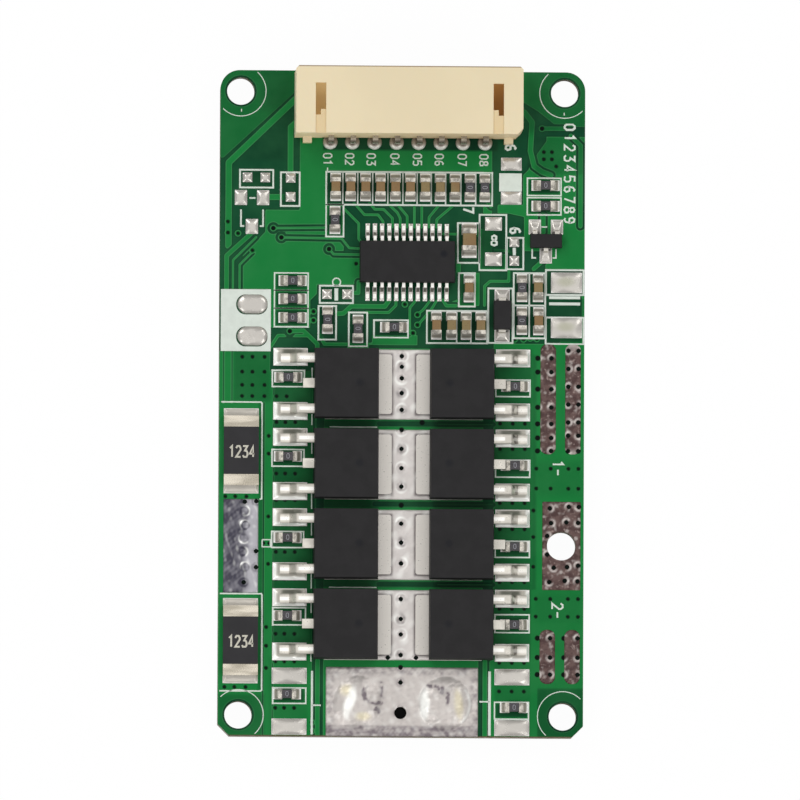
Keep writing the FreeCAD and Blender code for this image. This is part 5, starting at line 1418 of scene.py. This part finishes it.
def make_leg_solder():
    """Solder under and round the power transistors' outer legs."""
    heap = Heap()
    feet = []
    for (low, high), body in zip(FRAMES, MOSFETS):
        side = 1 if high[0] > 5 else -1
        near = body[max(side, 0)][0] + side * FOOT_START
        toe = high[0] if side > 0 else low[0]
        for lane in (-1, 1):
            y = middle_of(body)[1] + lane * LEG_LANE
            feet.append(((min(near, toe), y - FOOT_HALF), (max(near, toe), y + FOOT_HALF)))
    for number, land in enumerate(islands("mosfet_pads")):
        wet_land(heap, *land, [foot for foot in feet if meets(land, foot)], 0.4, 0.2, number,
                 count=25, look=leg_look if land[0][0] < 0 else lambda u, v: leg_look(1 - u, v))
    heap.finish("leg_solder", FINISHES["leg_solder"], "solder")


def make_chip_solder():
    """Solder fillets at the ends of the small chips and of the sense resistors."""
    heap = Heap()
    ends = islands("capacitor_ends") + islands("resistor_ends") + islands("supply_capacitor_ends")
    for number, land in enumerate(islands("chip_pads")):
        here = [end for end in ends if meets(land, end)]
        shift = np.subtract(middle_of(land), middle_of((here or [land])[0]))

        def look(u, v, shift=shift):
            along = u if abs(shift[0]) > abs(shift[1]) else v
            outward = along if shift[np.argmax(np.abs(shift))] > 0 else 1 - along
            # Painted highlight at the outer end of each fillet, and painted shade in a trough
            # just outside the chip's end.
            return {"bright": 0.9 * ease(outward, 0.8, 0.9),
                    "dull": 0.8 * np.exp(-((outward - 0.66) / 0.12) ** 2)}
        wet_land(heap, *land, here, 0.42, 0.2, number, count=15, look=look)
    for number, (low, high) in enumerate(islands("sense_resistor_pads"), 50):
        here = [corners_mm(f"sense_resistor_ends_{1 if high[1] > -13 else 2}")]
        wet_land(heap, low, high, here, 0.3, 0.25, number, count=25)
    heap.finish("chip_solder", FINISHES["chip_solder"], "solder")


LEAD_FOOT = 0.65


def make_lead_solder():
    """Low heaps of solder on the control chip's lands, round each lead's foot."""
    heap = Heap()
    leads = islands("controller_leads")
    for number, land in enumerate(islands("controller_pads")):
        low, high = [lead for lead in leads if meets(land, lead)][0]
        if land[0][1] > corners_mm("controller_body")[1][1]:
            foot = ((low[0], high[1] - LEAD_FOOT), (high[0], high[1]))
        else:
            foot = ((low[0], low[1]), (high[0], low[1] + LEAD_FOOT))
        wet_land(heap, *land, [foot], 0.12, 0.1, number, count=9)
    heap.finish("lead_solder", FINISHES["solder"], "solder")


STRIP_ROUND, LAND_ROUND = 0.62, 0.06


def land_piece(name, node, holes, height, finish, looks, step=0.1, slot="tinned_land",
               big_hole=None, overrun=0.0):
    """Uneven tinned land that stands for a plain one, drilled where its holes are. The
    overrun carries it on towards the board's far edge."""
    heap = Heap()
    for low, high in islands(node):
        window = plan((low - (0, overrun, 0), high))
        discs = [disc_shape(cx, cy, VIA_R) for cx, cy in holes
                 if window[0] < cx < window[1] and window[2] < cy < window[3]]
        if big_hole:
            discs.append(disc_shape(*big_hole))
        inside = hollowed(box_shape(*window, STRIP_ROUND if node == "bare_strips"
                                    else LAND_ROUND), discs)

        def top(x, y, inside=inside):
            edge = ease(inside(x, y), 0.0, 0.16)
            return BOARD_TOP + 0.05 + (LAND_TOP - BOARD_TOP - 0.05 + height(x, y)) * edge
        heap.add(*plate(window, step, inside, top, BOARD_TOP - 0.01))
    piece = heap.finish(name, FINISHES[finish], slot, looks=looks)
    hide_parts(node)


def bell(away, wide):
    """1 where the distance is 0, falling as exp(-(distance / width)^2)."""
    return np.exp(-(away / wide) ** 2)


def ring_bumps(x, y, places, radius, wide, rise):
    """Raised rings of solder round drilled holes."""
    return np.max([rise * bell(np.hypot(x - cx, y - cy) - radius, wide)
                   for cx, cy in places], 0)


def halos(x, y, places, radius, wide):
    """Rings about holes, between 0 and 1, of uneven strength from hole to hole."""
    return np.max([(0.6 + 0.4 * math.sin(2.4 * number))
                   * bell(np.hypot(x - cx, y - cy) - radius, wide)
                   for number, (cx, cy) in enumerate(places)], 0)


def crescent_highlights(x, y, places, radius, wide):
    """Painted highlights: rings about holes that are bright on one side only, each turned its own
    way.
    """
    return np.max([np.clip(0.35 + 0.65 * np.cos(np.arctan2(y - cy, x - cx) - 2.1 * number), 0, 1)
                   * bell(np.hypot(x - cx, y - cy) - radius, wide)
                   for number, (cx, cy) in enumerate(places)], 0)


def blots(x, y, places):
    """Soft ellipses: middle, half lengths across and along, and turn in degrees."""
    total = np.zeros(np.shape(x))
    for cx, cy, rx, ry, turn in places:
        angle = math.radians(turn)
        u = (x - cx) * math.cos(angle) + (y - cy) * math.sin(angle)
        v = (y - cy) * math.cos(angle) - (x - cx) * math.sin(angle)
        total = np.maximum(total, np.exp(-((u / rx) ** 2 + (v / ry) ** 2) ** 2))
    return total


def strokes(x, y, paths, wide):
    """Soft thin lines along paths."""
    return np.max([bell(np.maximum(-line_shape(path, 0.02)(x, y), 0), wide)
                   for path in paths], 0)


def dome_bumps(x, y, places, radius, rise):
    """Round blobs of solder: rise times the cosine of the distance."""
    return np.max([rise * np.cos(np.clip(np.hypot(x - cx, y - cy) / radius, 0, 1) * np.pi / 2)
                   for cx, cy in places], 0)


# Painted shadow round each tab: reach along the tab from its edge, and half the tab's width.
TAB_REACH, TAB_HALF = 1.3, 2.7


def make_lands():
    """Lumpy lands under the power transistors and along both edges."""
    def drain_height(x, y):
        return (0.05 + 0.02 * waves(x, y, 3, 1.6) + 0.012 * waves(x, y, 5, 0.5)
                + ring_bumps(x, y, DRAIN_VIAS, 0.34, 0.12, 0.05))
    tabs = []
    for low, high in FRAMES:
        begin = low[0] if high[0] > 5 else high[0] - TAB_REACH
        middle = (low[1] + high[1]) / 2
        tabs.append(box_shape(begin, begin + TAB_REACH, middle - TAB_HALF, middle + TAB_HALF))

    def drain_dull(x, y):
        rings = halos(x, y, DRAIN_VIAS, 0.32, 0.22) * (0.6 + 0.5 * waves(x, y, 7, 0.5))
        # Painted shadow: dark lines round the edges of the tabs.
        lines = np.max([bell(np.minimum(tab(x, y), 0), 0.13) for tab in tabs], 0)
        return np.clip(0.8 * rings + 1.2 * lines, 0, 1)
    drain_looks = {
        "dull": drain_dull,
        # Paler patches, and painted highlights on the rings round the holes.
        "bright": lambda x, y: np.clip(0.3 * waves(x, y, 8, 1.2) + crescent_highlights(
            x, y, DRAIN_VIAS, 0.55, 0.1) * 0.7, 0, 1),
    }
    for number in range(1, 5):
        land_piece(f"drain_solder_{number}", f"drain_land_{number}", DRAIN_VIAS + FAR_VIAS,
                   drain_height, finish="drain_solder", looks=drain_looks)

    def sense_height(x, y):
        return (0.03 + 0.01 * waves(x, y, 11, 1.1) + 0.002 * waves(x, y, 12, 0.45)
                + dome_bumps(x, y, SENSE_BUMPS, 0.5, 0.16) * (x > -14.95)
                + ring_bumps(x, y, SENSE_VIAS, 0.3, 0.12, 0.05))
    sense_looks = {
        "dull": lambda x, y: np.clip(
            ease(-14.1 + 0.35 * waves(x, y, 13, 1.6) - x, -0.5, 0.5) * (
                0.85 + 0.16 * waves(x, y, 14, 1.3) + 0.12 * waves(x, y, 16, 0.5))
            + 0.6 * halos(x, y, SENSE_BUMPS + SENSE_VIAS, 0.36, 0.1), 0, 1),
        # Paler patches, and painted highlights on one side of each blob.
        "bright": lambda x, y: np.clip(
            0.3 * waves(x, y, 15, 0.8) - 0.12 + 0.8 * crescent_highlights(x, y, SENSE_BUMPS, 0.45, 0.1),
            0, 1),
    }
    land_piece("sense_solder", "sense_land", SENSE_VIAS, sense_height, finish="sense_solder",
               step=0.07, looks=sense_looks)

    def minus_height(x, y):
        return (0.02 + 0.02 * waves(x, y, 21, 0.8)
                + ring_bumps(x, y, MINUS_VIAS, 0.28, 0.1, 0.06))
    # Pale tin in patches, and painted highlights on the rings round the holes.
    minus_looks = {"tinned": lambda x, y: np.clip(
        0.8 * crescent_highlights(x, y, MINUS_VIAS, 0.32, 0.1)
        + 0.45 * ease(waves(x, y, 22, 1.1) + 0.5 * waves(x, y, 23, 0.5), 0.6, 1.4), 0, 1)}
    land_piece("minus_solder", "minus_land", MINUS_VIAS, minus_height, finish="bare_strip",
               big_hole=MINUS_HOLE, looks=minus_looks)

    def strip_height(x, y):
        return (0.03 + 0.025 * waves(x, y, 31, 0.7)
                + ring_bumps(x, y, STRIP_VIAS, 0.24, 0.09, 0.06))
    # Pale tin in patches and bands, and painted highlights on the rings round the holes.
    strip_looks = {"tinned": lambda x, y: np.clip(
        crescent_highlights(x, y, STRIP_VIAS, 0.3, 0.1) * 0.8
        + 0.35 * ease(waves(x, y, 32, 0.9) + 0.5 * waves(x, y, 33, 0.45), 0.6, 1.4)
        + 0.6 * ease(y, 4.4, 5.8) * (x > 14.4) + 0.6 * ease(-3.8 - y, 0.0, 0.9)
        * (x > 14.4) * (y > -6), 0, 1)}
    land_piece("strip_solder", "bare_strips", STRIP_VIAS, strip_height, finish="bare_strip",
               slot="bare_strip", looks=strip_looks)


# Marks on the far land's solder: painted highlights along runs, yellowish flux, a painted
# highlight along an arc, dark spots and scratches.
FAR_HIGHLIGHTS = [(2.15, -27.2, 0.45, 1.5, 0), (-4.5, -26.9, 0.42, 1.3, -14),
              (-4.8, -27.5, 0.36, 1.0, -6)]
FAR_AMBER = [(5.25, -27.2, 0.42, 1.35, 6), (-4.9, -26.0, 0.6, 0.55, 0),
             (-3.4, -28.35, 0.7, 0.4, 0)]
FAR_HIGHLIGHT_ARC = circle(4.05, -27.2, 2.2, np.linspace(-0.85, 0.6, 12))
FAR_SPOTS = [(-3.3, -26.35, 0.22, 0.6, 8), (-2.1, -27.8, 0.32, 0.3, 0),
             (-1.9, -27.15, 0.25, 0.2, 0), (3.6, -26.0, 0.32, 0.3, 0),
             (4.2, -26.9, 0.16, 0.5, 0), (2.75, -25.6, 0.4, 0.18, 0)]
FAR_SCRATCHES = [
    [(-3.2, -25.7), (-3.4, -26.4), (-3.1, -26.9)], [(-2.9, -27.0), (-2.3, -27.2), (-1.7, -27.1)],
    [(-1.72, -25.3), (-1.68, -26.7)], [(-2.25, -27.75), (-1.95, -27.85)],
    [(-2.2, -27.6), (-2.0, -27.95)], [(2.5, -25.5), (2.9, -25.65), (3.1, -25.6)],
    [(3.4, -25.7), (3.8, -25.75), (3.7, -26.2), (4.0, -26.35)], [(4.1, -26.0), (4.3, -26.4),
                                                               (4.25, -27.1)],
]


def make_bottom_land():
    """Far land with its two large pools of solder: each is a cap whose height falls as
    1 - r^p towards its rim, the left one oval and turned."""
    def height(x, y):
        base = 0.04 + 0.02 * waves(x, y, 41, 1.1) + 0.01 * waves(x, y, 43, 0.4)
        share = np.clip(np.hypot(x - 4.05, y + 27.15) / 2.45, 0, 1)
        round_cap = 0.62 * (1 - share ** 2.6)
        u = (x + 3.9) * 0.97 - (y + 27.1) * 0.25
        v = (y + 27.1) * 0.97 + (x + 3.9) * 0.25
        share = np.clip(np.hypot(u * 1.05, v * 0.95) / 2.35, 0, 1)
        pool = 0.5 * (1 - share ** 2.4)
        rough = 0.012 * waves(x, y, 45, 0.8) * ease(round_cap + pool, 0.05, 0.5)
        return base + round_cap + pool + rough

    rim = box_shape(*plan(islands("bottom_land")[0]))

    def dull(x, y):
        band = ease(0.95 - rim(x, y), 0, 0.5)
        speckle = np.clip(0.36 + 0.36 * waves(x, y, 48, 1.1) + 0.3 * waves(x, y, 47, 0.6)
                          + 0.2 * waves(x, y, 46, 0.33), 0, 1)
        mottle = 0.12 * np.clip(waves(x, y, 50, 0.5), 0, 1)
        lines = (strokes(x, y, FAR_SCRATCHES, 0.13) * (0.8 + 0.8 * waves(x, y, 51, 0.5))
                 + blots(x, y, FAR_SPOTS) * (0.7 + 0.8 * waves(x, y, 52, 0.4)))
        hole = halos(x, y, [WIRE_HOLE], WIRE_HOLE_R + 0.1, 0.2)
        low_band = 0.45 * ease(-29.05 - y, 0, 0.2) * (0.9 + 0.3 * waves(x, y, 53, 0.5))
        return np.clip(band * speckle * 0.75 + low_band + lines + mottle + 0.4 * hole
                       + 0.5 * halos(x, y, FAR_VIAS, 0.3, 0.15), 0, 1)
    looks = {
        "dull": dull,
        "amber": lambda x, y: blots(x, y, FAR_AMBER) * 0.45,
        # Painted highlights along the runs and the arc, and paler patches.
        "bright": lambda x, y: np.clip(
            blots(x, y, FAR_HIGHLIGHTS) + 0.6 * strokes(x, y, [FAR_HIGHLIGHT_ARC], 0.12)
            + 0.15 * waves(x, y, 49, 0.9), 0, 1),
    }
    land_piece("far_solder", "bottom_land", FAR_VIAS, height, finish="far_solder",
               big_hole=(*WIRE_HOLE, WIRE_HOLE_R), looks=looks, overrun=0.15)
    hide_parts("bottom_solder")


def make_slot_domes():
    """Solder in the two oval lands of the printed block: a low cap over a stadium, the
    first with a dent."""
    heap = Heap()
    for number, (low, high) in enumerate(islands("slot_solder")):
        shape = box_shape(*plan((low, high)), (high[1] - low[1]) / 2 - 0.01)
        cx, cy = middle_of((low, high))

        def top(x, y):
            inside = np.clip(shape(x, y), 0, 1)
            cap = np.sqrt(np.clip(1 - (1 - inside / 0.87) ** 2, 0, 1))
            dent = (0.1 * np.exp(-((x - cx + 0.1) ** 2 + (y - cy) ** 2) / 0.12)
                    if number == 0 else 0.0)
            return (BOARD_TOP + 0.05 + (high[2] - BOARD_TOP - 0.08) * cap - dent * cap
                    + 0.02 * waves(x, y, 60 + number, 0.9) * cap)
        heap.add(*plate(plan((low, high)), 0.07, shape, top, BOARD_TOP - 0.01))
    piece = heap.finish("slot_caps", FINISHES["spare_solder"], "solder")
    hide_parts("slot_solder")


def turned(profile, cx, cy, sides=28):
    """Closed surface turned about an upright axis from a profile of radius and height
    that starts at the bottom."""
    profile = np.asarray(profile, float)
    angles = all_round(sides)
    points = np.stack([cx + profile[:, :1] * np.cos(angles), cy + profile[:, :1]
                       * np.sin(angles), profile[:, 1:] + 0 * angles], -1)
    index = np.arange(len(profile) * sides).reshape(-1, sides)
    following = np.roll(index, -1, 1)
    quads = np.stack([index[:-1], following[:-1], following[1:], index[1:]], -1)
    return points.reshape(-1, 3), [quads.reshape(-1, 4), index[:1, ::-1], index[-1:]]


PIN_NECK = 0.3


def make_pin_cones():
    """Round solder cones at the header pins, over and under the board: the radius falls
    to the pin's neck as the square root of 1 - t^2.2, where t goes up the cone. Each has
    painted shade on its crown and a painted highlight along an arc on its near side."""
    heap = Heap()
    joints = islands("connector_solder")
    for low, high in joints:
        share = np.linspace(0, 1, 11)
        wide = (high[0] - low[0]) / 2 + 0.02 - PIN_NECK
        flare = PIN_NECK + wide * np.sqrt(np.clip(1 - share ** 2.2, 0, 1))
        up = low[2] > 0.5
        base, tip = (low[2], high[2]) if up else (high[2], low[2])
        profile = np.column_stack([flare, base + (tip - base) * share])
        heap.add(*turned(profile if up else profile[::-1], *middle_of((low, high))))
    middles = [middle_of(joint) for joint in joints]
    looks = {
        # Painted shade on each cone's crown.
        "dull": lambda x, y: np.clip(sum(np.exp(-((np.hypot(x - cx, (y - cy - 0.12) * 0.8)
                                                   / 0.42) ** 4)) for cx, cy in middles), 0, 1),
        # Painted highlight along an arc on each cone's near side.
        "bright": lambda x, y: np.clip(sum(
            bell(np.hypot(x - cx, y - cy) - 0.58, 0.12) * ease(cy - y, 0.1, 0.6)
            for cx, cy in middles), 0, 1) * 0.7,
    }
    piece = heap.finish("pin_cones", FINISHES["pin_solder"], "solder", looks=looks)
    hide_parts("connector_solder")


SHADE_DISC_FOOT, SHADE_DISC_DEPTH = 0.3, 0.55


def make_hole_shade_disc():
    """Painted shade in the wire hole: a black disc set in the laminate that closes the hole
    from below and stands in for its dark depth; its face climbs the wall a little, by 0.1 mm
    times the square of the share of the radius."""
    share = np.linspace(1, 0.1, 7)
    face = BOARD_TOP - SHADE_DISC_DEPTH + 0.1 * share ** 2
    profile = np.column_stack([np.append(1.0, share) * (WIRE_HOLE_R + 0.02),
                               np.append(SHADE_DISC_FOOT, face)])
    heap = Heap()
    heap.add(*turned(profile, *WIRE_HOLE))
    heap.finish("hole_sealant", FINISHES["sealant"], "black_epoxy")


class BOARD_OT_finishes(bpy.types.Operator):
    """Make the finishes and give them to the board's own parts"""
    bl_idname = "board.finishes"
    bl_label = "Finishes"

    def execute(self, context):
        FINISHES.update(make_finishes(context.scene.board_colours))
        dress_nodes()
        return {"FINISHED"}


class BOARD_OT_mask(bpy.types.Operator):
    """Lay the solder mask over the copper pattern"""
    bl_idname = "board.mask"
    bl_label = "Mask and copper"

    def execute(self, context):
        make_mask_surface(context.scene.board_sizes)
        return {"FINISHED"}


class BOARD_OT_print(bpy.types.Operator):
    """Print the frames, signs and digits"""
    bl_idname = "board.print"
    bl_label = "Print"

    def execute(self, context):
        make_print(context.scene.board_sizes)
        make_part_marks()
        return {"FINISHED"}


class BOARD_OT_lands(bpy.types.Operator):
    """Make the uneven tinned lands"""
    bl_idname = "board.lands"
    bl_label = "Lands"

    def execute(self, context):
        make_lands()
        make_bottom_land()
        make_slot_domes()
        return {"FINISHED"}


class BOARD_OT_solder(bpy.types.Operator):
    """Put solder round legs, chips, leads and pins"""
    bl_idname = "board.solder"
    bl_label = "Solder"

    def execute(self, context):
        make_spare_solder()
        make_leg_solder()
        make_chip_solder()
        make_lead_solder()
        make_pin_cones()
        # Painted shade disc in the wire hole.
        make_hole_shade_disc()
        return {"FINISHED"}


class BOARD_OT_stage(bpy.types.Operator):
    """Set up the floor, the light and the camera"""
    bl_idname = "board.stage"
    bl_label = "Stage"

    def execute(self, context):
        make_floor()
        make_lights()
        make_camera()
        context.scene.view_settings.view_transform = "Standard"
        return {"FINISHED"}


FLOOR_WHITE, FLOOR_GLOW = 0.94, 0.97
# Camera: lens and sensor, width of the view at the board's top, leans, roll and aim.
LENS, SENSOR = 1200.0, 36.0
FRAME_WIDTH = 72.27
LEAN_ACROSS, LEAN_ALONG, ROLL = math.radians(-2.0), math.radians(-4.4), math.radians(-0.24)
AIM = (-0.15, 0.33)


def make_floor():
    """Plain white floor; what the camera sees of it is its own white, so that it stays
    pale."""
    half, level = 300.0, CAD_BOX[0][2] / MM - 0.02
    points = [(-half, -half, level), (half, -half, level), (half, half, level),
              (-half, half, level)]
    material, tree, shader = new_material("floor_white")
    feed_all(tree, shader, {"Roughness": 0.9, "Base Color": (FLOOR_WHITE,) * 3})
    glow = add_node(tree, "ShaderNodeEmission", Color=(1, 1, 1), Strength=1.0)
    seen = tree.nodes.new("ShaderNodeLightPath").outputs["Is Camera Ray"]
    blend = add_node(tree, "ShaderNodeMixShader", {
        0: product(tree, seen, FLOOR_GLOW), 1: shader.outputs[0], 2: glow.outputs[0]})
    feed(tree, tree.nodes["Material Output"].inputs["Surface"], blend.outputs[0])
    floor = put_mesh("floor", points, [np.array([[0, 1, 2, 3]])], material, smooth=False)


LAMPS = (
    # name, place in mm, side length in mm, strength in watts
    ("key_lamp", (-300.0, 300.0, 480.0), 240.0, 0.72),
    ("far_lamp", (300.0, 300.0, 480.0), 240.0, 0.5),
    ("near_lamp", (-300.0, -300.0, 480.0), 240.0, 0.66),
    ("fill_lamp", (300.0, -300.0, 480.0), 240.0, 0.6),
)
# The room's strength at the sides and overhead, and the heights between which it changes.
WORLD_LOW, WORLD_HIGH = 0.4, 1.1
WORLD_RISE = (0.74, 0.96)


def make_lights():
    """Four soft lamps over the corners in a pale room that is brightest overhead; the
    camera sees the room as plain white."""
    for name, place, side, strength in LAMPS:
        lamp = bpy.data.lights.new(name, "AREA")
        lamp.shape, lamp.size, lamp.energy = "SQUARE", side * MM, strength
        thing = bpy.data.objects.new(name, lamp)
        bpy.context.scene.collection.objects.link(thing)
        thing.location = Vector(place) * MM
        thing.rotation_euler = thing.location.to_track_quat("Z", "Y").to_euler()
    world = bpy.data.worlds.new("pale_room")
    bpy.context.scene.world = world
    world.use_nodes = True
    tree = world.node_tree
    point = tree.nodes.new("ShaderNodeTexCoord").outputs["Generated"]
    ramp = add_node(tree, "ShaderNodeMapRange", {
        "From Min": WORLD_RISE[0], "From Max": WORLD_RISE[1], "To Min": WORLD_LOW,
        "To Max": WORLD_HIGH, "Value": parts_of(tree, point)["Z"]},
        interpolation_type="SMOOTHSTEP")
    seen = tree.nodes.new("ShaderNodeLightPath").outputs["Is Camera Ray"]
    strength = add_node(tree, "ShaderNodeMix", {0: seen, 2: ramp.outputs["Result"], 3: 1.0})
    feed_all(tree, tree.nodes["Background"], {"Color": (1.0, 1.0, 1.0),
                                              "Strength": strength.outputs[0]})


def make_camera():
    """Long lens that looks almost straight down, leaning a little to the near and left."""
    camera = bpy.data.cameras.new("camera")
    camera.lens, camera.sensor_width = LENS, SENSOR
    camera.clip_start, camera.clip_end = 0.01, 5.0
    thing = bpy.data.objects.new("camera", camera)
    bpy.context.scene.collection.objects.link(thing)
    back = Vector((math.tan(LEAN_ACROSS), math.tan(LEAN_ALONG), 1.0)).normalized()
    up = Vector((math.sin(ROLL), math.cos(ROLL), 0.0))
    right = up.cross(back).normalized()
    up = back.cross(right)
    aim = Vector((AIM[0], AIM[1], BOARD_TOP)) * MM
    spot = aim + back * (FRAME_WIDTH * LENS / SENSOR * MM)
    thing.matrix_world = Matrix((
        (right.x, up.x, back.x, spot.x), (right.y, up.y, back.y, spot.y),
        (right.z, up.z, back.z, spot.z), (0, 0, 0, 1)))
    bpy.context.scene.camera = thing


CLASSES = [BoardColours, BoardSizes, BOARD_OT_finishes, BOARD_OT_mask, BOARD_OT_print,
           BOARD_OT_lands, BOARD_OT_solder, BOARD_OT_stage]
STEPS = ["finishes", "mask", "print", "lands", "solder", "stage"]


class BOARD_PT_panel(bpy.types.Panel):
    """Lists the steps that dress the board"""
    bl_label = "Board"
    bl_idname = "BOARD_PT_panel"
    bl_space_type = "VIEW_3D"
    bl_region_type = "UI"
    bl_category = "Board"

    def draw(self, context):
        for group in (context.scene.board_colours, context.scene.board_sizes):
            for label in group.__annotations__:
                self.layout.prop(group, label)
        for step in STEPS:
            self.layout.operator(f"board.{step}")


def register():
    for item in CLASSES + [BOARD_PT_panel]:
        bpy.utils.register_class(item)
    bpy.types.Scene.board_colours = PointerProperty(type=BoardColours)
    bpy.types.Scene.board_sizes = PointerProperty(type=BoardSizes)


def unregister():
    del bpy.types.Scene.board_sizes
    del bpy.types.Scene.board_colours
    for item in reversed(CLASSES + [BOARD_PT_panel]):
        bpy.utils.unregister_class(item)


def main():
    register()
    for step in STEPS:
        getattr(bpy.ops.board, step)()


if __name__ == "__main__":
    main()
